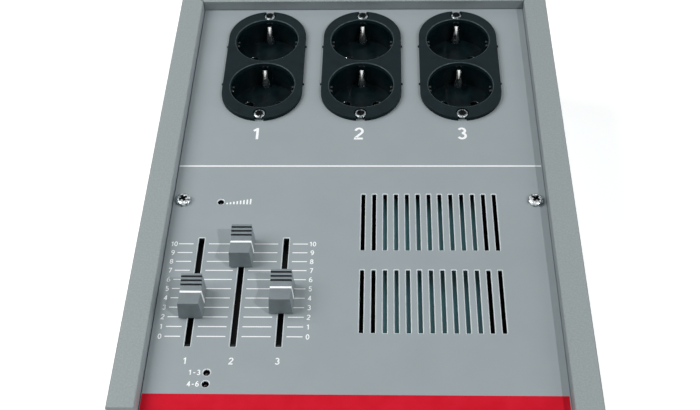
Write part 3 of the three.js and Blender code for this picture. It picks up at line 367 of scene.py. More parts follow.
# A strip along a line in Y and Z, of a given width in X and a thickness. Its face is crowned
# and it narrows between a third and three quarters of its length, if asked
def addStrip(bm, line, x, width, thickness, crown=0.0, narrow=1.0):
    columns = (-1, -0.75, -0.4, 0, 0.4, 0.75, 1) if crown else (-1, 1)
    rings = []
    for i, point in enumerate(line):
        here = Vector(point)
        before = (here - Vector(line[i - 1])).normalized() if i else None
        after = (Vector(line[i + 1]) - here).normalized() if i + 1 < len(line) else None
        along = ((before or after) + (after or before)).normalized()
        across = Vector((-along.y, along.x))
        run = i / (len(line) - 1)
        half = width / 2 * (1 - (1 - narrow) * min(max(run * 2.2 - 0.7, 0), 1))
        ring = []
        for side, row in ((1, columns), (-1, columns[::-1])):
            for share in row:
                bulge = crown * half / width * 2 * (1 - share * share)
                spot = here + across * (side * thickness / 2 + bulge)
                ring.append(bm.verts.new((x + share * half, spot.x, spot.y)))
        rings.append(ring)
    skin(bm, rings)
    bm.faces.new(rings[0])
    bm.faces.new(rings[-1])


# Moves everything that was added since the vertex count was start
def place(bm, start, matrix):
    bm.verts.ensure_lookup_table()
    bmesh.ops.transform(bm, matrix=matrix, verts=bm.verts[start:])


# Cuts one closed shape out of another
def subtract(body, tool):
    made = []
    for name, bm in (("body", body), ("tool", tool)):
        bmesh.ops.recalc_face_normals(bm, faces=bm.faces)
        mesh = bpy.data.meshes.new(name)
        bm.to_mesh(mesh)
        bm.free()
        thing = bpy.data.objects.new(name, mesh)
        bpy.context.scene.collection.objects.link(thing)
        made.append(thing)
    modifier = made[0].modifiers.new("cut", "BOOLEAN")
    modifier.object = made[1]
    modifier.solver = "EXACT"
    result = bmesh.new()
    result.from_mesh(made[0].evaluated_get(bpy.context.evaluated_depsgraph_get()).to_mesh())
    for thing in made:
        mesh = thing.data
        bpy.data.objects.remove(thing)
        bpy.data.meshes.remove(mesh)
    return result


def roundEdges(bm, edges, rim, steps):
    bmesh.ops.bevel(
        bm, geom=edges, offset=rim, segments=steps, profile=0.5, affect="EDGES", clamp_overlap=True,
    )


# Hangs a finished shape on a body and hides the CAD nodes that it stands for
def makePiece(name, bm, paints, slot, *nodes, body="case", angle=35):
    bmesh.ops.remove_doubles(bm, verts=bm.verts, dist=0.0005)
    bmesh.ops.recalc_face_normals(bm, faces=bm.faces)
    bmesh.ops.scale(bm, vec=(mm, mm, mm), verts=bm.verts)
    mesh = bpy.data.meshes.new(name)
    bm.to_mesh(mesh)
    bm.free()
    mesh.polygons.foreach_set("use_smooth", [True] * len(mesh.polygons))
    mesh.set_sharp_from_angle(angle=math.radians(angle))
    for paint in paints:
        mesh.materials.append(finishes[paint])
    piece = bpy.data.objects.new(name, mesh)
    bpy.context.scene.collection.objects.link(piece)
    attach(piece, body)
    if nodes:
        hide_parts(*nodes)
    piece.modifiers.new("flatNormals", "WEIGHTED_NORMAL").keep_sharp = True


# Case tray

tray = {
    "fold": 2.2, "tight": 1.0, "rail": 14.2, "rearRail": 14.6, "corner": 20,
    "sharp": 50, "edge": 0.18, "lipReach": 0.5, "lipDepth": 2,
}


# The eye reads the folds along the rails as tighter than the CAD sheet has them: each outer
# round moves to a smaller one
def tightenFolds(bm):
    old, new = tray["fold"], tray["tight"]
    level = trayHigh.z - old
    folds = [
        (0, trayHigh.x - old, 1), (0, trayHigh.x - tray["rail"] + old, -1),
        (1, trayHigh.y - old, 1), (1, trayHigh.y - tray["rearRail"] + old, -1),
    ]
    for vert in bm.verts:
        sign = 1 if vert.co.x > 0 else -1
        spot = [abs(vert.co.x), vert.co.y]
        rise = vert.co.z - level
        for axis, centre, way in folds:
            out = (spot[axis] - centre) * way
            if min(rise, out) < -0.01 or abs(math.hypot(out, rise) - old) > 0.012:
                continue
            move = ((old - new) + out * (new / old - 1)) * way
            spot[axis] += move
            if spot[1] > trayHigh.y - tray["corner"]:
                spot[1 - axis] += move
            vert.co.z += (old - new) + rise * (new / old - 1)
            break
        vert.co.x, vert.co.y = sign * spot[0], spot[1]


# The CAD sheet's own shape in millimetres with its flat parts cleaned, then folds and edges
def makeTray():
    bm = bmesh.new()
    bm.from_mesh(nodeObjects["case_tray"].data)
    bmesh.ops.scale(bm, vec=(1 / mm, 1 / mm, 1 / mm), verts=bm.verts)
    bmesh.ops.remove_doubles(bm, verts=bm.verts, dist=0.002)
    bmesh.ops.dissolve_limit(bm, angle_limit=math.radians(1), verts=bm.verts, edges=bm.edges)
    tightenFolds(bm)
    corners = [e for e in bm.edges if len(e.link_faces) == 2]
    sharp = [e for e in corners if e.calc_face_angle() > math.radians(tray["sharp"])]
    roundEdges(bm, sharp, tray["edge"], 2)
    bm.normal_update()
    lipX = trayHigh.x - tray["rail"] + tray["lipReach"]
    lipY = trayHigh.y - tray["rearRail"] + tray["lipReach"]
    for face in bm.faces:
        # The lips that face the panel were sprayed with it, and the right and rear lips take the darker copy:
        # painted shade
        spot = face.calc_center_median()
        upright = spot.z > panelTop - tray["lipDepth"] and abs(face.normal.z) < 0.5
        if upright and abs(spot.x) < lipX and spot.y < lipY:
            face.material_index = 2 if min(face.normal.x, face.normal.y) < -0.5 else 1
    makePiece(
        "case_tray_enamelled", bm, ["texturedEnamel", "satinEnamel", "shadedLipEnamel"],
        "case_paint", "case_tray",
    )


makeTray()
print("tray made")


# Top panel with its openings

lightNames = ("overload_light", "bank_light_upper", "bank_light_lower")
outletMiddles = [middleOf(f"outlet_body_{i}") for i in (1, 2, 3)]
capMiddles = [middleOf(f"fader_cap_{i}") for i in (1, 2, 3)]
screwMiddles = [middleOf(f"panel_screw_{side}") for side in ("left", "right")]
lightMiddles = [middleOf(name) for name in lightNames]
panel = {
    "rim": 0.25, "corner": 0.3, "rightEdge": 103.7, "holeRim": 0.1, "slotRim": 0.5,
    "outletWidth": 42.9, "outletLength": 84.5, "lightHole": 1.75, "screwHole": 2.2,
    "slotWidth": 3.0, "slotLow": -130.4, "slotHigh": -60.2, "slotCorner": 0.25,
    "ventWidth": 2.15, "ventLength": 40, "ventCorner": 0.2, "ventCount": 13, "ventPitch": 6.025,
    "ventRight": 74.9, "ventRows": (-101.8, -48.4),
    "studs": (31, 119), "studRadius": 2.4, "paleFrom": 50, "outerEdge": 1, "darkDrop": 0.02,
}


def makePanel():
    p = panel
    bm = bmesh.new()
    # The panel lies against the right lip, so the gap shows on the left only
    width = p["rightEdge"] - panelLow.x
    middleX = (p["rightEdge"] + panelLow.x) / 2
    middleY = (panelLow.y + panelHigh.y) / 2
    outer = rectangle(middleX, middleY, width, panelHigh.y - panelLow.y, p["corner"], 2)
    holes = [(stadium(m.x, m.y, p["outletWidth"], p["outletLength"]), p["holeRim"]) for m in outletMiddles]
    slotY = (p["slotLow"] + p["slotHigh"]) / 2
    slotLength = p["slotHigh"] - p["slotLow"]
    slots = [rectangle(m.x, slotY, p["slotWidth"], slotLength, p["slotCorner"]) for m in capMiddles]
    slots += [circle(m.x, m.y, p["lightHole"], 32) for m in lightMiddles]
    holes += [(slot, p["slotRim"]) for slot in slots]
    holes += [(circle(m.x, m.y, p["screwHole"], 24), p["holeRim"]) for m in screwMiddles]
    for rowY in p["ventRows"]:
        for i in range(p["ventCount"]):
            x = p["ventRight"] - i * p["ventPitch"]
            vent = rectangle(x, rowY, p["ventWidth"], p["ventLength"], p["ventCorner"], 2)
            holes.append((vent, p["slotRim"]))
    addPlate(bm, outer, panelUnder, panelTop, p["rim"], holes)
    for first, second in zip(capMiddles, capMiddles[1:]):
        for y in p["studs"]:
            at = ((first.x + second.x) / 2, panelLow.y + y, 0)
            addRod(bm, p["studRadius"], panelLow.z, panelUnder, at)
    # All below the rims is dark steel, its near black on the walls of the slots partly painted shade, and the
    # rims in front of the outlets are pale: a painted highlight
    for face in bm.faces:
        spot = face.calc_center_median()
        isRim = spot.z < panelTop - hair and abs(spot.x) < panelHigh.x - p["outerEdge"]
        if spot.z < panelTop - p["slotRim"] - p["darkDrop"]:
            face.material_index = 1
        elif isRim and spot.y < outletMiddles[0].y - p["paleFrom"]:
            face.material_index = 2
    makePiece(
        "front_panel_enamelled", bm, ["satinEnamel", "phosphateAndShadeSteel", "rimHighlightEnamel"],
        "panel_paint", "front_panel",
    )


makePanel()
print("panel made")


# Screen print

def arc(x, y, rx, ry, start, end, steps=14):
    turns = [math.radians(start + (end - start) * i / steps) for i in range(steps + 1)]
    return [(x + rx * math.cos(a), y + ry * math.sin(a)) for a in turns]


# Middle lines of plain numerals, one unit tall and a little over half a unit wide
numeralWidth = 0.58
numeralLines = {
    "0": [arc(0.29, 0.5, 0.23, 0.45, 90, 450, 28)],
    "1": [[(0.34, 1.0), (0.34, 0.0)], [(0.1, 0.74), (0.36, 0.96)]],
    "2": [arc(0.29, 0.71, 0.22, 0.24, 170, -35) + [(0.08, 0.12), (0.06, 0.05), (0.54, 0.05)]],
    "3": [arc(0.28, 0.74, 0.2, 0.21, 155, -90), arc(0.28, 0.29, 0.23, 0.24, 90, -155)],
    "4": [[(0.4, 1.0), (0.4, 0.0)], [(0.4, 0.95), (0.06, 0.3), (0.56, 0.3)]],
    "5": [[(0.5, 0.95), (0.14, 0.95), (0.1, 0.5)] + arc(0.28, 0.33, 0.23, 0.28, 125, -150)],
    "6": [arc(0.29, 0.3, 0.23, 0.26, 90, 450, 24), arc(0.4, 0.4, 0.34, 0.55, 85, 200)],
    "7": [[(0.06, 0.95), (0.52, 0.95), (0.24, 0.0)]],
    "8": [arc(0.29, 0.73, 0.19, 0.21, 90, 450, 24), arc(0.29, 0.28, 0.23, 0.24, 90, 450, 24)],
    "9": [arc(0.29, 0.7, 0.23, 0.26, 90, 450, 24), arc(0.18, 0.6, 0.34, 0.55, -95, 20)],
    "-": [[(0.1, 0.42), (0.46, 0.42)]],
}


# A band of ink along a middle line
def addInkLine(bm, points, width, level):
    closed = (Vector(points[0]) - Vector(points[-1])).length < 1e-6
    pairs = []
    for i, point in enumerate(points):
        here = Vector(point)
        before = here - Vector(points[i - 1]) if i else None
        after = Vector(points[i + 1]) - here if i + 1 < len(points) else None
        if closed and before is None:
            before = here - Vector(points[-2])
        if closed and after is None:
            after = Vector(points[1]) - here
        before = (before or after).normalized()
        after = (after or before).normalized()
        mitre = Vector((-before.y - after.y, before.x + after.x))
        reach = mitre * (width / max(mitre.length_squared, 1.0))
        pairs.append([bm.verts.new((*spot, level)) for spot in (here + reach, here - reach)])
    for first, second in zip(pairs, pairs[1:]):
        bm.faces.new((first[0], first[1], second[1], second[0]))


# Numerals about a middle; each stroke of one lies a little under the one before
def addNumerals(bm, text, x, y, style, level):
    height = style["height"]
    step = style.get("spread", 0.68) * height
    left = x - ((len(text) - 1) * step + numeralWidth * height) / 2
    for i, letter in enumerate(text):
        for k, line in enumerate(numeralLines[letter]):
            points = [(left + i * step + px * height, y + (py - 0.5) * height) for px, py in line]
            addInkLine(bm, points, style["weight"], level - k * 0.004)


inkPrint = {
    "lift": 0.03, "margin": 0.3, "bandBack": -158.0,
    "divider": {"y": -6.9, "weight": 0.95},
    "outletNumber": {"shift": -0.7, "y": 19.2, "height": 9.2, "weight": 1.5},
    "scale": {
        "zeroY": -124.5, "step": 6.01, "weight": 0.55,
        "lines": ((-96.5, -88.5), (-80.2, -65.6), (-57.5, -42.8), (-34.8, -26.7)),
    },
    "digit": {"x": (-99.0, -24.2), "height": 3.05, "weight": 0.5, "spread": 0.62},
    "channel": {"y": -139.1, "height": 3.8, "weight": 0.6},
    "bank": {"x": -78.9, "height": 2.9, "weight": 0.5, "spread": 0.72},
    "bars": {"x": -73.1, "pitch": 1.85, "weight": 0.85, "foot": 1.7, "lowest": 1.1, "rise": 0.4, "count": 8},
}


def makePrint():
    bm = bmesh.new()
    level = panelTop + inkPrint["lift"]
    edge = panelHigh.x - inkPrint["margin"]
    divider = inkPrint["divider"]
    addInkLine(bm, [(-edge, divider["y"]), (edge, divider["y"])], divider["weight"], level)
    number = inkPrint["outletNumber"]
    for i, m in enumerate(outletMiddles):
        addNumerals(bm, str(i + 1), m.x + number["shift"], number["y"], number, level)
    scale = inkPrint["scale"]
    for mark in range(11):
        y = scale["zeroY"] + mark * scale["step"]
        for x0, x1 in scale["lines"]:
            addInkLine(bm, [(x0, y), (x1, y)], scale["weight"], level)
        for x in inkPrint["digit"]["x"]:
            addNumerals(bm, str(mark), x, y, inkPrint["digit"], level)
    channel = inkPrint["channel"]
    for i, m in enumerate(capMiddles):
        addNumerals(bm, str(i + 1), m.x, channel["y"], channel, level)
    bank = inkPrint["bank"]
    for text, m in zip(("1-3", "4-6"), lightMiddles[1:]):
        addNumerals(bm, text, bank["x"], m.y, bank, level)
    bars = inkPrint["bars"]
    foot = lightMiddles[0].y - bars["foot"]
    for i in range(bars["count"]):
        x = bars["x"] + i * bars["pitch"]
        addInkLine(bm, [(x, foot), (x, foot + bars["lowest"] + i * bars["rise"])], bars["weight"], level)
    makePiece("panel_print_white", bm, ["whiteInk"], "panel_paint")

    bm = bmesh.new()
    depth = inkPrint["bandBack"] - panelLow.y - inkPrint["margin"]
    band = rectangle(0, inkPrint["bandBack"] - depth / 2, 2 * edge, depth, 0, 1)
    addPlate(bm, band, panelTop, level)
    makePiece("panel_print_band", bm, ["redInk"], "panel_paint")


makePrint()
print("print made")


# Double outlets

outlet = {
    "flangeWidth": 48.9, "flangeLength": 98.6, "flangeShift": -0.5, "flangeRim": 0.7,
    "recessRadius": 19.55, "recessRim": 0.55, "recessPitch": 41.6, "recessDepth": 17.5,
    "bodyWidth": 42.3, "floor": 3, "pinRadius": 2.6, "pinX": 9.5, "pinRim": 0.5,
    "collar": ((0, -0.05), (0, 0.35), (0.2, 0.55), (0.5, 0.55), (0.7, 0.35), (0.7, -0.05)),
    "slotWidth": 6, "slotLength": 2, "slotCorner": 0.3, "slotRim": 0.15, "earthY": 17.9,
    "ribReach": 2, "ribRoot": 0.3, "ribWidth": 5.2, "ribDrop": 3.5,
    "screwY": 45.0, "seatRadius": 3.9, "seatDepth": 1.4, "seatCut": 4,
    "mouth": 5.2, "mouthFrom": 2.7, "mouthPast": 2, "mouthDrop": 0.5,
    "tabY": (-18.2, 16.3), "tabReach": 0.75, "tabHalf": 0.6, "tabHeight": 1.0, "tabRim": 0.2,
    "sideFrom": 0.5, "sideTo": 0.4,
}

# A guide rib is three blocks side by side: where each starts and ends in shares of the width,
# its share of the reach, how far below the others it stops, and its rim
ribBlocks = ((-1 / 2, -1 / 6, 1, 0, 0.35), (1 / 6, 1 / 2, 1, 0, 0.35), (-1 / 6, 1 / 6, 0.5, 0.6, 0.1))


def makeOutlet(i):
    o = outlet
    low, high = boxOf(f"outlet_body_{i + 1}")
    x, y = outletMiddles[i].xy
    top = high.z
    radius, pinRadius = o["recessRadius"], o["pinRadius"]
    flangeY = y + o["flangeShift"]
    recessYs = (y - o["recessPitch"] / 2, y + o["recessPitch"] / 2)
    recesses = [circle(x, recessY, radius, 96) for recessY in recessYs]
    body = bmesh.new()
    flange = stadium(x, flangeY, o["flangeWidth"], o["flangeLength"])
    addPlate(body, flange, panelTop, top, o["flangeRim"], [(r, o["recessRim"]) for r in recesses], steps=4)
    seats = bmesh.new()
    mouths = bmesh.new()
    for side in (-1, 1):
        seat = (x, flangeY + side * o["screwY"], top - o["seatDepth"])
        addRod(seats, o["seatRadius"], 0, o["seatCut"], seat, 48, True)
        ends = spanOf(y, side, o["screwY"] + o["mouthFrom"], o["flangeLength"] / 2 + o["mouthPast"])
        across = (x - o["mouth"] / 2, x + o["mouth"] / 2)
        addBlock(mouths, *across, *ends, panelTop - o["mouthDrop"], top + past, 0)
    bm = subtract(subtract(body, seats), mouths)

    # The moulding below the flange, with a floor and its holes in each recess
    floor = top - o["recessDepth"]
    under = floor - o["floor"]
    outer = stadium(x, y, o["bodyWidth"], o["recessPitch"] + o["bodyWidth"])
    inner = stadium(x, y, 2 * radius, o["recessPitch"] + 2 * radius)
    addPlate(bm, outer, low.z, under, 0, [(inner, 0)])
    addPlate(bm, outer, under, panelTop, 0, [(r, 0) for r in recesses], paint=1)
    for recessY, recess in zip(recessYs, recesses):
        pins = [(circle(x + side * o["pinX"], recessY, pinRadius, 32), o["pinRim"]) for side in (-1, 1)]
        slots = []
        for slotY in (recessY - o["earthY"], recessY + o["earthY"]):
            slot = rectangle(x, slotY, o["slotWidth"], o["slotLength"], o["slotCorner"], 2)
            slots.append((slot, o["slotRim"]))
        addPlate(bm, recess, under, floor, 0.01, pins + slots, paint=3)
        collar = [(pinRadius + out, up) for out, up in o["collar"]]
        for side in (-1, 1):
            addTurned(bm, collar + collar[:1], (x + side * o["pinX"], recessY, floor), 32, 1)
        for side in (-1, 1):
            for first, last, share, drop, rim in ribBlocks:
                reach = spanOf(x, side, radius - o["ribReach"] * share, radius + o["ribRoot"])
                ends = (recessY + o["ribWidth"] * first, recessY + o["ribWidth"] * last)
                addBlock(bm, *reach, *ends, floor, top - o["ribDrop"] - drop, rim, 1)
    for side in (-1, 1):
        reach = spanOf(x, side, o["flangeWidth"] / 2 - o["tabHalf"], o["flangeWidth"] / 2 + o["tabReach"])
        for tabY in o["tabY"]:
            ends = (y + tabY - o["tabHalf"], y + tabY + o["tabHalf"])
            addBlock(bm, *reach, *ends, panelTop, panelTop + o["tabHeight"], o["tabRim"])
    for face in bm.faces:
        spot = face.calc_center_median()
        reach = min(math.hypot(spot.x - x, spot.y - recessY) for recessY in recessYs) - radius
        # The rim of each recess takes the third finish: rubbed, and a painted highlight
        if 0.01 < reach < o["recessRim"] and top - o["recessRim"] < spot.z < top - hair:
            face.material_index = 2
        # The flange's side takes the fourth finish: painted shade along the flange's foot
        outside = reach > o["recessRim"] + o["sideFrom"]
        if outside and panelTop < spot.z < top - o["flangeRim"] * o["sideTo"]:
            face.material_index = 3
    makePiece(
        f"double_outlet_{i + 1}", bm,
        ["sparkedPolyamide", "glossPolyamide", "rubbedAndHighlitPolyamide", "dustAndShadePolyamide"],
        "outlet_plastic", f"outlet_body_{i + 1}", angle=30,
    )


# The sprung earth strip: a base under both recesses and a bowed arm at each end of them
earth = {
    "width": 5, "thickness": 0.8, "bulge": 2.6, "start": 0.15, "peak": 0.62, "steps": 20,
    "crown": 1.5, "narrow": 0.56,
}


def makeEarth(i):
    e = earth
    middle = outletMiddles[i]
    low, high = boxOf(f"outlet_earth_strip_{i + 1}")
    bm = bmesh.new()
    base = low.z + e["thickness"] / 2
    addStrip(bm, [(low.y, base), (high.y, base)], middle.x, e["width"], e["thickness"])
    rise = high.z - base
    for recessY in (middle.y - outlet["recessPitch"] / 2, middle.y + outlet["recessPitch"] / 2):
        for side in (-1, 1):
            foot = recessY + side * outlet["earthY"]
            line = [(foot, base)]
            for step in range(e["steps"] + 1):
                share = e["start"] + (1 - e["start"]) * step / e["steps"]
                if share < e["peak"]:
                    bow = (1 - math.cos(math.pi * (share - e["start"]) / (e["peak"] - e["start"]))) / 2
                else:
                    bow = math.cos(math.pi / 2 * (share - e["peak"]) / (1 - e["peak"]))
                line.append((foot - side * e["bulge"] * bow, base + rise * share))
            addStrip(bm, line, middle.x, e["width"], e["thickness"], side * e["crown"], e["narrow"])
    node = f"outlet_earth_strip_{i + 1}"
    makePiece(f"earth_strip_{i + 1}", bm, ["nickelPlate"], "earth_zinc", node)


for i in range(3):
    makeOutlet(i)
    makeEarth(i)
print("outlets made")


# Screws

plainDrive = {"groove": 0.2, "span": 0.6, "depth": 0.85}
flangeDrive = {"groove": 0.42, "span": 0.68, "depth": 0.92}

# Shares of the head's height or radius, and of the drive's span or groove at the recess's foot
screwHead = {
    "rim": 0.32, "crown": 0.5, "steps": 8, "foot": 0.96, "footRise": 0.08, "peak": 1.02,
    "tipSpan": 0.55, "tipGroove": 0.7, "above": 1.2, "darkSpan": 1.05, "darkTop": 0.94,
}


# A domed head with a cross recess that narrows as it goes down
def addScrewHead(bm, matrix, radius, height, turn, drive=plainDrive):
    head = bmesh.new()
    h = screwHead
    rim, crown = height * h["rim"], h["crown"]
    profile = [(0, 0), (radius * h["foot"], 0), (radius, height * h["footRise"]), (radius, rim)]
    for c, s in quarterTurn(h["steps"]):
        profile.append((radius * (crown + (1 - crown) * c), rim + (height - rim) * s))
    profile.append((0, height * h["peak"]))
    addTurned(head, profile, steps=48)
    for quarter in (0, 90):
        tool = bmesh.new()
        span = 2 * radius * drive["span"]
        width = 2 * radius * drive["groove"]
        tip = rectangle(0, 0, span * h["tipSpan"], width * h["tipGroove"], 0.03, 2)
        mouth = rectangle(0, 0, span, width, 0.05, 2)
        outlines = ((tip, height * (1 - drive["depth"])), (mouth, height * h["above"]))
        rings = [[tool.verts.new((px, py, z)) for px, py in ring] for ring, z in outlines]
        skin(tool, rings)
        for ring in rings:
            tool.faces.new(ring)
        about = Matrix.Rotation(math.radians(quarter + turn), 3, "Z")
        bmesh.ops.rotate(tool, verts=tool.verts, cent=(0, 0, 0), matrix=about)
        head = subtract(head, tool)
    # The faces of the drive recess take the second finish: painted shade
    for face in head.faces:
        spot = face.calc_center_median()
        reach = math.hypot(spot.x, spot.y)
        if reach < radius * drive["span"] * h["darkSpan"] and 0.05 < spot.z < height * h["darkTop"]:
            face.material_index = 1
    mesh = bpy.data.meshes.new("head")
    head.to_mesh(mesh)
    head.free()
    start = len(bm.verts)
    bm.from_mesh(mesh)
    bpy.data.meshes.remove(mesh)
    place(bm, start, matrix)


panelScrew = {"turns": {"left": 28, "right": 55}, "shank": 1.9}
flangeScrew = {"radius": 3.6, "height": 1.5, "turns": (12, 50, 33, 70, 5, 41), "shank": 1.5, "length": 6}


def makePanelScrews():
    for side, turn in panelScrew["turns"].items():
        node = f"panel_screw_{side}"
        low, high = boxOf(node)
        x, y = middleOf(node).xy
        bm = bmesh.new()
        seat = Matrix.Translation((x, y, panelTop))
        addScrewHead(bm, seat, (high.y - low.y) / 2, high.z - panelTop, turn)
        addRod(bm, panelScrew["shank"], low.z, panelTop + overlap, (x, y, 0))
        makePiece(f"{node}_zinc", bm, ["zincWithPaintedReflections", "shadedDriveRecess"], "screw_zinc", node)


def makeFlangeScrews():
    f = flangeScrew
    bm = bmesh.new()
    seatZ = boxOf("outlet_body_1")[1].z - outlet["seatDepth"]
    for i, turn in enumerate(f["turns"]):
        x = outletMiddles[i // 2].x
        y = outletMiddles[i // 2].y + outlet["flangeShift"] + (1, -1)[i % 2] * outlet["screwY"]
        addScrewHead(bm, Matrix.Translation((x, y, seatZ)), f["radius"], f["height"], turn, flangeDrive)
        addRod(bm, f["shank"], panelTop - f["length"], seatZ + overlap, (x, y, 0), 20)
    makePiece("outlet_flange_screws", bm, ["counterboreShadedZinc", "deepShadedRecess"], "screw_zinc")


makePanelScrews()
makeFlangeScrews()
print("screws made")


# Fader caps

capForm = {
    "foot": 0.8, "width": 12.4, "topWidth": 10.7, "length": 19.6, "topLength": 18.6,
    "valley": 10, "rear": 13.6, "front": 12.6, "rim": 0.28,
    "grooves": (3.65, 5.7, 7.7), "grooveWidth": 1.0, "grooveDepth": 0.8, "grooveReach": 5.8,
    "grooveFoot": 0.8, "markWidth": 1.15, "sideMark": 1.9, "roundFrom": 0.35,
}


# The fader's cap: a valley for the fingertip, grooves behind it and a mark over the middle
def makeCap(i):
    c = capForm
    crest = max(c["rear"], c["front"])
    half = c["topLength"] / 2

    def surface(y):
        return c["valley"] + abs(y) / half * (c["rear" if y > 0 else "front"] - c["valley"])

    def tapered(foot, top, z):
        return (foot - (foot - top) * (z - c["foot"]) / (crest - c["foot"])) / 2

    def endAt(z):
        return tapered(c["length"], c["topLength"], z)

    profile = [(-endAt(c["foot"]), c["foot"]), (endAt(c["foot"]), c["foot"]), (endAt(c["rear"]), c["rear"])]
    w = c["grooveWidth"] / 2
    for y in reversed(c["grooves"]):
        bottom = surface(y) - c["grooveDepth"]
        profile += [(y + w, surface(y + w)), (y + w * c["grooveFoot"], bottom)]
        profile += [(y - w * c["grooveFoot"], bottom), (y - w, surface(y - w))]
    profile += [(0, c["valley"]), (-endAt(c["front"]), c["front"])]
    bm = bmesh.new()
    rows = []
    for side in (-1, 1):
        rows.append([bm.verts.new((side * tapered(c["width"], c["topWidth"], z), y, z)) for y, z in profile])
    skin(bm, rows)
    for row in rows:
        bm.faces.new(row)
    bmesh.ops.recalc_face_normals(bm, faces=bm.faces)
    inGroove = {row[k] for row in rows for k in range(3, 3 + 4 * len(c["grooves"]))}
    outerEdges = [e for e in bm.edges if not (e.verts[0] in inGroove and e.verts[1] in inGroove)]
    roundEdges(bm, [e for e in outerEdges if e.calc_face_angle() > c["roundFrom"]], c["rim"], 3)
    for level in (-c["sideMark"] / 2, -c["markWidth"] / 2, c["markWidth"] / 2, c["sideMark"] / 2):
        everything = bm.verts[:] + bm.edges[:] + bm.faces[:]
        bmesh.ops.bisect_plane(bm, geom=everything, plane_co=(0, level, 0), plane_no=(0, 1, 0))
    for face in bm.faces:
        spot = face.calc_center_median()
        if face.normal.z <= -0.5:
            continue
        onSide = abs(face.normal.x)
        if abs(spot.y) < (c["sideMark"] if onSide > 0.8 else c["markWidth"]) / 2:
            face.material_index = 1
        # Faces inside the grooves take the third finish: painted shade
        grooved = any(abs(spot.y - y) < w * 1.01 for y in c["grooves"]) and abs(spot.x) < c["grooveReach"]
        if grooved and spot.z < surface(spot.y) - 0.05 and onSide < 0.5:
            face.material_index = 2
    place(bm, 0, Matrix.Translation((capMiddles[i].x, capMiddles[i].y, panelTop)))
    makePiece(
        f"fader_cap_{i + 1}_moulded", bm, ["satinAbs", "whiteInk", "grooveShadeAbs"], "cap_plastic",
        f"fader_cap_{i + 1}", body=f"fader_{i + 1}", angle=30,
    )


for i in range(3):
    makeCap(i)
print("caps made")


# Indicator lights

lens = {"base": 1.9, "baseHeight": 3.7, "dome": 1.5}


def makeLight(name):
    low, high = boxOf(name)
    shoulder = low.z + lens["baseHeight"]
    round0 = high.z - lens["dome"]
    profile = [(0, low.z), (lens["base"], low.z), (lens["base"], shoulder), (lens["dome"], shoulder)]
    profile.append((lens["dome"], round0))
    profile += [(lens["dome"] * c, round0 + lens["dome"] * s) for c, s in quarterTurn(8)]
    bm = bmesh.new()
    addTurned(bm, profile, (*middleOf(name).xy, 0), 32)
    makePiece(f"{name}_lens", bm, ["tintedEpoxy"], "light_lens", name)


for name in lightNames:
    makeLight(name)
print("lights made")


# Back wall fittings

# A nut: a hexagon from z0 to z1 with its rims turned off, and a bore
def addNut(bm, across, z0, z1, bore, matrix, chamfer):
    start = len(bm.verts)
    hexagon = circle(0, 0, across / 2 / math.cos(math.pi / 6), 6)
    addPlate(bm, hexagon, z0, z1, chamfer, [(circle(0, 0, bore), 0.3)], chamfer)
    place(bm, start, matrix)


glandForm = {
    "across": 24, "clear": 0.1, "flange": 5, "flangeRim": 0.6, "bore": 6, "inside": 14.2,
    "thread": 10, "pitch": 1.5, "root": 0.75, "lead": 0.4, "leadTaper": 0.8, "threadStop": 1.6,
    "neck": 8.6, "neckTop": 14, "fit": 0.3, "gap": 0.15, "skirtTop": 14.3, "skirtRim": 0.8,
    "domeRim": 0.4, "domeFoot": 1, "domeCurve": 0.9, "lip": 8.2, "lipRound": 0.5,
    "mouth": 4.8, "mouthRim": 0.8, "mouthDepth": 2.2,
}

# The rubber bush that the nut squeezes round the cord, seen in the mouth. Its nose is pairs of
# how far out from the bore and how far below the nut's top
bushForm = {
    "bore": 3.2, "wall": 2.5, "depth": 6, "stand": 0.2, "nose": ((1.4, 2.6), (0.4, 2.2), (0, 2.8)),
}


def makeGland():
    g = glandForm
    middle = middleOf("cable_gland")
    wall = onWall(middle.x, middle.z)
    bm = bmesh.new()
    addNut(bm, g["across"] - g["clear"], 0, g["flange"], g["bore"], wall, g["flangeRim"])
    profile = [(g["bore"], -g["inside"]), (g["thread"] - g["leadTaper"], -g["inside"])]
    root = g["thread"] - g["root"]
    height = -g["inside"] + g["lead"]
    while height < -g["threadStop"]:
        profile += [(g["thread"], height), (root, height + g["pitch"] / 2)]
        height += g["pitch"]
    profile += [(root, overlap), (g["bore"], overlap)]
    foot, neckTop = g["flange"] - overlap, g["neckTop"]
    neck = [(g["bore"], foot), (g["neck"], foot), (g["neck"], neckTop), (g["bore"], neckTop)]
    for turned in (profile, neck):
        addTurned(bm, turned + turned[:1], matrix=wall)
    makePiece("cable_gland_moulded", bm, ["mouldedNylon"], "gland_nylon", "cable_gland")

    bm = bmesh.new()
    top = boxOf("gland_dome_nut")[1].y - backWall
    skirt, socket, dome = g["skirtTop"], g["neck"] + g["fit"], g["across"] / 2 - g["domeRim"]
    addNut(bm, g["across"] - g["clear"], g["flange"] + g["gap"], skirt, socket, wall, g["skirtRim"])
    foot = skirt - g["domeFoot"]
    profile = [(socket, foot), (dome - g["domeRim"], foot), (dome, skirt)]
    rise = top - g["lipRound"] - skirt
    for c, s in quarterTurn(12):
        profile.append((g["lip"] + (dome - g["lip"]) * c ** g["domeCurve"], skirt + rise * s))
    profile += [(g["lip"] - g["lipRound"], top), (g["mouth"] + g["mouthRim"], top)]
    profile += [(g["mouth"], top - g["mouthRim"]), (g["mouth"], top - g["mouthDepth"])]
    addTurned(bm, profile + profile[:1], matrix=wall)
    makePiece("gland_dome_nut_moulded", bm, ["mouldedNylon"], "gland_nylon", "gland_dome_nut")

    b = bushForm
    bm = bmesh.new()
    foot, outside = neckTop - b["depth"], b["bore"] + b["wall"]
    bush = [(b["bore"], foot), (outside, foot), (outside, neckTop + b["stand"])]
    bush += [(b["bore"] + out, top - down) for out, down in b["nose"]]
    addTurned(bm, bush + bush[:1], matrix=wall)
    makePiece("gland_bush", bm, ["mouldedRubber"], "foot_rubber")


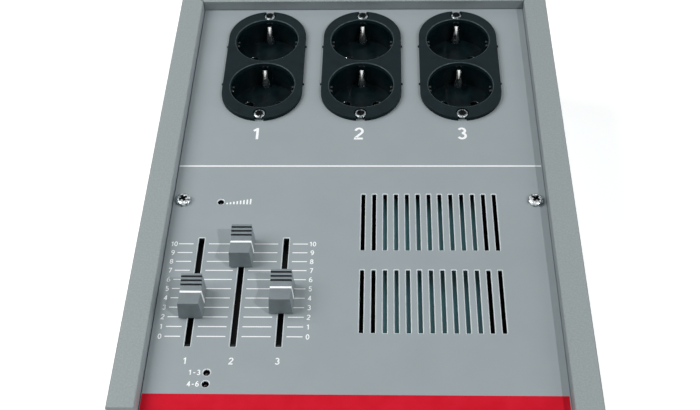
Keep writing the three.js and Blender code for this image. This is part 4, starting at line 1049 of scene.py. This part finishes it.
fuseForm = {
    "flange": 3, "flangeRadius": 8.6, "flangeRim": 0.8, "body": 6.2, "length": 37.2,
    "endRim": 0.4, "threadFrom": 11.6, "threadTo": 1.8, "threadEnd": 1.2, "pitch": 1, "root": 0.45,
    "bore": 3.9, "boreDepth": 26, "cap": 7, "capFoot": 3.15, "capFootRim": 0.2, "capRim": 0.9,
    "flutes": 18, "flute": 0.35, "stepsPerFlute": 8,
    "slotWidth": 1.6, "slotDepth": 1.4, "slotRim": 0.1, "stem": 3.6, "stemLength": 23,
}


def makeFuseHolder(i, wall):
    f = fuseForm
    bm = bmesh.new()
    end = -f["length"]
    profile = [(0, end), (f["body"] - f["endRim"], end), (f["body"], end + f["endRim"])]
    profile.append((f["body"], -f["threadFrom"] - f["endRim"]))
    height = -f["threadFrom"]
    while height < -f["threadTo"]:
        profile += [(f["body"], height), (f["body"] - f["root"], height + f["pitch"] / 2)]
        height += f["pitch"]
    radius, rim, flange = f["flangeRadius"], f["flangeRim"], f["flange"]
    profile += [(f["body"], -f["threadEnd"]), (f["body"], 0), (radius, 0), (radius, flange - rim)]
    profile += [(radius - rim * (1 - c), flange - rim * (1 - s)) for c, s in quarterTurn(5)]
    profile += [(f["bore"], flange), (f["bore"], flange - f["boreDepth"]), (0, flange - f["boreDepth"])]
    addTurned(bm, profile, matrix=wall)
    node = f"fuse_holder_{i}"
    makePiece(f"{node}_moulded", bm, ["mouldedPhenolic"], "fuse_plastic", node)


# The screw-in carrier: a fluted knob with a slot for a coin, on a stem
def makeFuseCarrier(i, wall):
    f = fuseForm
    node = f"fuse_carrier_{i}"
    bm = bmesh.new()
    top = boxOf(node)[1].y - backWall
    outline = []
    count = f["flutes"] * f["stepsPerFlute"]
    for a in [2 * math.pi * step / count for step in range(count)]:
        radius = f["cap"] - f["flute"] * (0.5 - 0.5 * math.cos(a * f["flutes"])) ** 2
        outline.append((radius * math.cos(a), radius * math.sin(a)))
    addPlate(bm, outline, f["capFoot"], top, f["capRim"], footRim=f["capFootRim"], steps=4)
    tool = bmesh.new()
    half, edge = f["cap"] + past, f["slotWidth"] / 2
    addBlock(tool, -half, half, -edge, edge, top - f["slotDepth"], top + past, f["slotRim"])
    bm = subtract(bm, tool)
    addRod(bm, f["stem"], -f["stemLength"], f["capFoot"] + overlap, steps=32, closed=True)
    place(bm, 0, wall)
    makePiece(f"{node}_moulded", bm, ["mouldedPhenolic"], "fuse_plastic", node)


socketForm = {
    "width": 28, "height": 19, "plate": 1.2, "rim": 0.3, "corner": 3,
    "shell": 7.6, "wall": 0.9, "depth": 15, "groove": 8, "back": 0.4,
    "key": 0.9, "keyReach": 1, "keyStop": 0.6, "keyRim": 0.15,
    "insert": 5.6, "insertRim": 0.35, "setBack": 1, "bottom": 1, "bottomInset": 0.1,
    "pinRing": 3.5, "pinRadius": 0.9, "pinRim": 0.2, "pinDepth": 7, "pinTurns": (0, 45, 90, 135, 180),
    "screwX": 11, "screwHole": 1.6, "screwRim": 0.1,
    "screwHead": 2.5, "screwHeight": 1.5, "screwTurns": (20, 65, 8, 80),
}


def makeSocket(i, name, screws):
    f = socketForm
    wall = onWall(middleOf(name).x, boxOf(name)[0].z + f["height"] / 2)
    inside = f["shell"] - f["wall"]
    floor = f["plate"] - f["groove"]
    bm = bmesh.new()
    holes = [(circle(0, 0, inside), f["rim"])]
    holes += [(circle(side * f["screwX"], 0, f["screwHole"], 24), f["screwRim"]) for side in (-1, 1)]
    addPlate(bm, rectangle(0, 0, f["width"], f["height"], f["corner"], 8), 0, f["plate"], f["rim"], holes)
    top, bottom = f["plate"] - f["rim"], floor - f["back"]
    tube = [(inside, top), (f["shell"], top), (f["shell"], -f["depth"]), (0, -f["depth"])]
    tube += [(0, bottom), (inside, bottom), (inside, top)]
    addTurned(bm, tube)
    reach = (-inside - overlap, -inside + f["keyReach"])
    addBlock(bm, -f["key"], f["key"], *reach, floor, f["plate"] - f["keyStop"], f["keyRim"])
    place(bm, 0, wall)
    makePiece(f"{name}_shell", bm, ["satinNickel"], "socket_zinc", name)

    bm = bmesh.new()
    face = f["plate"] - f["setBack"]
    pins = []
    for a in [math.radians(turn) for turn in f["pinTurns"]]:
        pin = circle(f["pinRing"] * math.cos(a), f["pinRing"] * math.sin(a), f["pinRadius"], 20)
        pins.append((pin, f["pinRim"]))
    foot = face - f["pinDepth"]
    addPlate(bm, circle(0, 0, f["insert"]), foot, face, f["insertRim"], pins)
    addPlate(bm, circle(0, 0, f["insert"] - f["bottomInset"]), foot - f["bottom"], foot)
    place(bm, 0, wall)
    makePiece(f"{name}_insert", bm, ["mouldedPhenolic"], "fuse_plastic")
    for k, side in enumerate((-1, 1)):
        seat = wall @ Matrix.Translation((side * f["screwX"], 0, f["plate"]))
        addScrewHead(screws, seat, f["screwHead"], f["screwHeight"], f["screwTurns"][2 * i + k])


knob = {
    "width": 4, "height": 3.4, "rim": 0.25, "foot": 2.4, "footRim": 0.3, "ridges": 4, "ridge": 0.35,
    "ridgeFrom": 0.22, "ridgeWidth": 0.56, "ridgeInset": 0.2, "ridgeRoot": 0.9, "ridgeRim": 0.15,
}


# The slide knob of the bank switch: ridged for a fingertip
def makeSwitchKnob():
    low, high = boxOf("bank_switch_slider")
    middle = (low + high) / 2
    reach = high.y - low.y
    bm = bmesh.new()
    addBlock(bm, low.x, high.x, low.z, high.z, 0, knob["foot"], knob["footRim"])
    x0 = middle.x - knob["width"] / 2
    z0 = middle.z - knob["height"] / 2
    z1 = z0 + knob["height"]
    addBlock(bm, x0, x0 + knob["width"], z0, z1, 0, reach - knob["ridge"], knob["rim"])
    step = knob["width"] / knob["ridges"]
    for k in range(knob["ridges"]):
        left = x0 + k * step + step * knob["ridgeFrom"]
        across = (left, left + step * knob["ridgeWidth"])
        upright = (z0 + knob["ridgeInset"], z1 - knob["ridgeInset"])
        addBlock(bm, *across, *upright, reach - knob["ridgeRoot"], reach, knob["ridgeRim"])
    place(bm, 0, Matrix.Translation((0, low.y, 0)) @ standing)
    makePiece("bank_switch_knob", bm, ["acetal"], "slider_plastic", "bank_switch_slider", body="bank_switch")


makeGland()
for i in (1, 2, 3):
    middle = middleOf(f"fuse_holder_{i}")
    makeFuseHolder(i, onWall(middle.x, middle.z))
    makeFuseCarrier(i, onWall(middle.x, middle.z))
socketScrews = bmesh.new()
for i, name in enumerate(("control_socket_in", "control_socket_through")):
    makeSocket(i, name, socketScrews)
makePiece("socket_screws", socketScrews, ["zincWithPaintedReflections", "shadedDriveRecess"], "screw_zinc")
makeSwitchKnob()
print("back wall fittings made")


# Print on the back wall: fuse numbers and the two places of the bank switch

wallPrint = {
    "lift": 0.04, "fuse": {"z": 50, "height": 5, "weight": 0.75},
    "bank": {"x": 6.4, "z": 43.5, "height": 3.8, "weight": 0.62, "spread": 0.72},
}


def makeWallPrint():
    fuse, bank, level = wallPrint["fuse"], wallPrint["bank"], wallPrint["lift"]
    bm = bmesh.new()
    for i in (1, 2, 3):
        addNumerals(bm, str(i), -middleOf(f"fuse_holder_{i}").x, fuse["z"], fuse, level)
    for text, side in (("1-3", -1), ("4-6", 1)):
        addNumerals(bm, text, side * bank["x"] - middleOf("bank_switch_body").x, bank["z"], bank, level)
    place(bm, 0, onWall(0, 0))
    makePiece("wall_print_white", bm, ["whiteInk"], "case_paint")


makeWallPrint()
print("back print made")


# Feet and the screws of the underside

footForm = {
    "rim": 0.9, "base": 8.2, "top": 9.5, "topRim": 0.15, "topRound": 0.8,
    "well": 4.6, "wellRim": 0.5, "wellDepth": 4.5, "hole": 2,
    "screwRadius": 3.6, "screwHeight": 2.2, "firstTurn": 17, "turn": 31,
}
underScrew = {
    "radius": 2.9, "height": 1.7, "firstTurn": 11, "turn": 23, "pillarInset": 9, "transformerY": 28.5,
}
floorUnder = trayLow.z
coreMiddle = middleOf("transformer")


# A screw head that looks down
def addUnderHead(screws, x, y, z, radius, height, turn):
    seat = Matrix.Translation((x, y, z)) @ Matrix.Rotation(math.pi, 4, "X")
    addScrewHead(screws, seat, radius, height, turn)


def makeFoot(k, name, screws):
    f = footForm
    x, y = middleOf(name).xy
    profile = [(f["well"], f["wellDepth"]), (f["well"], f["wellRim"]), (f["well"] + f["wellRim"], 0)]
    profile.append((f["base"] - f["rim"], 0))
    for c, s in quarterTurn(5):
        profile.append((f["base"] - f["rim"] * (1 - s), f["rim"] * (1 - c)))
    profile += [(f["top"] - f["topRim"], floorUnder - f["topRound"])]
    profile += [(f["top"] - 2 * f["topRim"], floorUnder), (f["hole"], floorUnder)]
    profile += [(f["hole"], f["wellDepth"]), (f["well"], f["wellDepth"])]
    bm = bmesh.new()
    addTurned(bm, profile, (x, y, 0))
    makePiece(f"{name}_moulded", bm, ["mouldedRubber"], "foot_rubber", name)
    turn = f["firstTurn"] + f["turn"] * k
    addUnderHead(screws, x, y, f["wellDepth"], f["screwRadius"], f["screwHeight"], turn)


def addUnderScrews(screws):
    u = underScrew
    low, high = boxOf("power_board")
    away = u["pillarInset"]
    spots = [(x, y) for x in (low.x + away, high.x - away) for y in (low.y + away, high.y - away)]
    spots += [(coreMiddle.x, coreMiddle.y + side * u["transformerY"]) for side in (-1, 1)]
    for k, (x, y) in enumerate(spots):
        addUnderHead(screws, x, y, floorUnder, u["radius"], u["height"], u["firstTurn"] + u["turn"] * k)


undersideScrews = bmesh.new()
for k, name in enumerate(("foot_front_left", "foot_front_right", "foot_rear_left", "foot_rear_right")):
    makeFoot(k, name, undersideScrews)
addUnderScrews(undersideScrews)
makePiece("underside_screws", undersideScrews, ["zincWithPaintedReflections", "shadedDriveRecess"], "screw_zinc")
print("feet and underside made")


# Wound parts inside the case

windings = {"turns": 34, "wire": 1.6, "dip": 0.32, "stepsPerTurn": 6, "hole": 9.0, "corner": 4.9}


# A ring core wound all round with thick enamelled wire
def makeChoke(i):
    w = windings
    node = f"choke_{i}"
    low, high = boxOf(node)
    middle = (low + high) / 2
    radius = (high.x - low.x) / 2
    across = rectangle((radius + w["hole"]) / 2, middle.z, radius - w["hole"], high.z - low.z, w["corner"], 5)
    bm = bmesh.new()
    rings = []
    count = w["turns"] * w["stepsPerTurn"]
    for k in range(count):
        a = 2 * math.pi * k / count
        dip = w["wire"] * w["dip"] * (1 - abs(math.sin(math.pi * k / w["stepsPerTurn"])))
        points = [(middle.x + r * math.cos(a), middle.y + r * math.sin(a), z) for r, z in inset(across, dip)]
        rings.append([bm.verts.new(point) for point in points])
    skin(bm, rings[-1:] + rings)
    makePiece(f"{node}_wound", bm, ["enamelledCopper"], "choke_winding", node, angle=60)


core = {
    "stack": 20, "length": 50, "plates": 16, "plateShare": 0.96, "plateDrop": 0.12, "plateRim": 0.1,
    "ear": 3, "earHole": 2, "holeRim": 0.1, "earOut": 4.5, "corner": 3, "rim": 0.3,
    "lift": 6, "cheek": 1.8, "coilLength": 36, "coilIn": 1.9, "coilCrown": 0.9, "coilSteps": 12,
}


# A laminated core with a taped coil between two cheeks, held by a strap with an ear at each end
def makeTransformer():
    c = core
    low, high = boxOf("transformer")
    x, y = coreMiddle.x, coreMiddle.y
    bm = bmesh.new()
    pitch = c["stack"] / c["plates"]
    for k in range(c["plates"]):
        x0 = x - c["stack"] / 2 + k * pitch
        drop = c["plateDrop"] * (k % 2)
        half = c["length"] / 2 - drop
        foot = low.z + c["ear"] - overlap
        across = (x0, x0 + pitch * c["plateShare"])
        addBlock(bm, *across, y - half, y + half, foot, high.z - drop, c["plateRim"])
    earOut = c["length"] / 2 + c["earOut"]
    ears = [(circle(x, y + side * earOut, c["earHole"], 24), c["holeRim"]) for side in (-1, 1)]
    strap = rectangle(x, y, c["stack"], high.y - low.y, c["corner"], 5)
    addPlate(bm, strap, low.z, low.z + c["ear"], c["rim"], ears)
    coil = rectangle(x, y, high.x - low.x, c["coilLength"], c["corner"], 5)
    coilFoot = low.z + c["lift"] + c["cheek"]
    coilTop = high.z - c["lift"] - c["cheek"]
    for level in (coilFoot - c["cheek"], coilTop):
        addPlate(bm, coil, level, level + c["cheek"], c["rim"], footRim=c["rim"], paint=1)
    levels = []
    for share in [k / c["coilSteps"] for k in range(c["coilSteps"] + 1)]:
        crown = 1 - (2 * share - 1) ** 4
        levels.append((c["coilIn"] - c["coilCrown"] * crown, coilFoot + (coilTop - coilFoot) * share))
    skinLevels(bm, coil, levels, 2)
    makePiece(
        "transformer_wound", bm, ["varnishedSteel", "mouldedNylon", "windingTape"],
        "transformer_steel", "transformer",
    )


for i in (1, 2, 3):
    makeChoke(i)
makeTransformer()
print("wound parts made")


# CAD nodes that keep their shape

keptFinishes = {
    "sparkedPolyamide": ["outlet_cover_1", "outlet_cover_2", "outlet_cover_3"],
    "brassStrip": [f"outlet_{kind}_strip_{i}" for kind in ("live", "neutral") for i in (1, 2, 3)],
    "slotShadeSteel": ["fader_track_1", "fader_track_2", "fader_track_3"],
    "acetal": ["fader_carriage_1", "fader_carriage_2", "fader_carriage_3"],
    "solderResist": ["control_board", "power_board"],
    "ribbonPvc": ["ribbon_cable"],
    "anodisedAluminium": ["heat_sink"],
    "epoxyPackage": ["triac_1", "triac_2", "triac_3"],
    "greenPolyamide": ["terminal_block"],
    "mouldedNylon": ["gland_lock_nut"],
    "tinPlate": ["bank_switch_body"],
}
for finish, names in keptFinishes.items():
    for thing in [nodeObjects[name] for name in names]:
        if not thing.material_slots:
            thing.data.materials.append(finishes[finish])
        for slot in thing.material_slots:
            slot.material = finishes[finish]
print("kept nodes finished")


# Studio: floor, sky, lamps and camera

studio = {
    "floorSize": 3.0, "floorColour": "#f2f2f2", "floorRoughness": 0.9, "floorGlow": 0.5,
    "ambient": 0.065, "ambientColour": (0.74, 1.0, 1.05, 1), "target": (0, -0.03, 0.09),
    "lamps": {
        "softboxLeft": {"way": (-1.0, -0.02, 1.0), "far": 1.2, "size": 0.9, "power": 12.9},
        "softboxRight": {"way": (1.0, 0.0, 0.42), "far": 1.0, "size": 0.7, "power": 3.7},
        "lampRight": {"way": (0.71, -0.61, 1.0), "far": 1.9, "size": 0.06, "power": 11.9},
    },
    "camera": {
        "place": (15.108, -445.122, 558.23), "pitch": 48.79, "yaw": -2.784, "roll": -2.035, "lens": 57.715,
    },
}


# One for each ray that the eye follows: straight from the camera, in a gloss or through glass
def seenRays(tree):
    path = addNode(tree, "LightPath").outputs
    seen = path["Is Camera Ray"]
    for kind in ("Is Glossy Ray", "Is Transmission Ray"):
        seen = addNode(tree, "Math", {"operation": "MAXIMUM"}, {0: seen, 1: path[kind]}).outputs[0]
    return seen


# White card: its colour is near white, and it sends the eye a little of its own so that it reads
# as paper. From below it is clear, so that the underside can be looked at
def makeFloor():
    size = studio["floorSize"]
    mesh = bpy.data.meshes.new("floor")
    corners = [(x * size, y * size, 0) for x, y in ((-1, -1), (1, -1), (1, 1), (-1, 1))]
    mesh.from_pydata(corners, [], [(0, 1, 2, 3)])
    floor = bpy.data.objects.new("studio_floor", mesh)
    bpy.context.scene.collection.objects.link(floor)
    card = bpy.data.materials.new("whiteCard")
    card.use_nodes = True
    tree = card.node_tree
    shader = tree.nodes["Principled BSDF"]
    shader.inputs["Base Color"].default_value = toLinear(studio["floorColour"])
    shader.inputs["Roughness"].default_value = studio["floorRoughness"]
    shader.inputs["Specular IOR Level"].default_value = 0.0
    glow = addNode(tree, "Math", {"operation": "MULTIPLY"}, {0: seenRays(tree), 1: studio["floorGlow"]})
    shader.inputs["Emission Color"].default_value = (1, 1, 1, 1)
    tree.links.new(glow.outputs[0], shader.inputs["Emission Strength"])
    under = addNode(tree, "NewGeometry").outputs["Backfacing"]
    clear = addNode(tree, "BsdfTransparent").outputs[0]
    sides = addNode(tree, "MixShader", None, {0: under, 1: shader.outputs[0], 2: clear})
    tree.links.new(sides.outputs[0], tree.nodes["Material Output"].inputs["Surface"])
    mesh.materials.append(card)


def makeSky():
    world = bpy.data.worlds.new("studioSky")
    world.use_nodes = True
    bpy.context.scene.world = world
    tree = world.node_tree
    tree.nodes.clear()
    dim = addNode(tree, "Background", None, {"Color": studio["ambientColour"], "Strength": studio["ambient"]})
    white = addNode(tree, "Background", None, {"Color": (1, 1, 1, 1), "Strength": 1.0})
    both = addNode(tree, "MixShader", None, {0: seenRays(tree), 1: dim.outputs[0], 2: white.outputs[0]})
    addNode(tree, "OutputWorld", None, {"Surface": both.outputs[0]})


def makeLamp(name, size, power, way, far):
    light = bpy.data.lights.new(name, "AREA")
    light.shape = "SQUARE"
    light.size = size
    light.energy = power
    thing = bpy.data.objects.new(name, light)
    toLamp = Vector(way).normalized()
    thing.location = Vector(studio["target"]) + toLamp * far
    thing.rotation_euler = toLamp.to_track_quat("Z", "Y").to_euler()
    bpy.context.scene.collection.objects.link(thing)


def makeCamera():
    view = studio["camera"]
    pitch, yaw, roll = (math.radians(view[k]) for k in ("pitch", "yaw", "roll"))
    ahead = Vector((math.sin(yaw) * math.cos(pitch), math.cos(yaw) * math.cos(pitch), -math.sin(pitch)))
    right = Vector((math.cos(yaw), -math.sin(yaw), 0))
    up = right.cross(ahead)
    rolledRight = math.cos(roll) * right + math.sin(roll) * up
    rolledUp = -math.sin(roll) * right + math.cos(roll) * up
    turn = Matrix((rolledRight, rolledUp, -ahead)).transposed().to_4x4()
    glass = bpy.data.cameras.new("photoCamera")
    glass.sensor_width = 36
    glass.lens = view["lens"]
    glass.clip_start = 0.01
    camera = bpy.data.objects.new("photoCamera", glass)
    camera.matrix_world = Matrix.Translation(Vector(view["place"]) * mm) @ turn
    bpy.context.scene.collection.objects.link(camera)
    bpy.context.scene.camera = camera
    bpy.context.scene.view_settings.view_transform = "Standard"


makeFloor()
makeSky()
for name, lamp in studio["lamps"].items():
    makeLamp(name, **lamp)
makeCamera()
print("studio made")
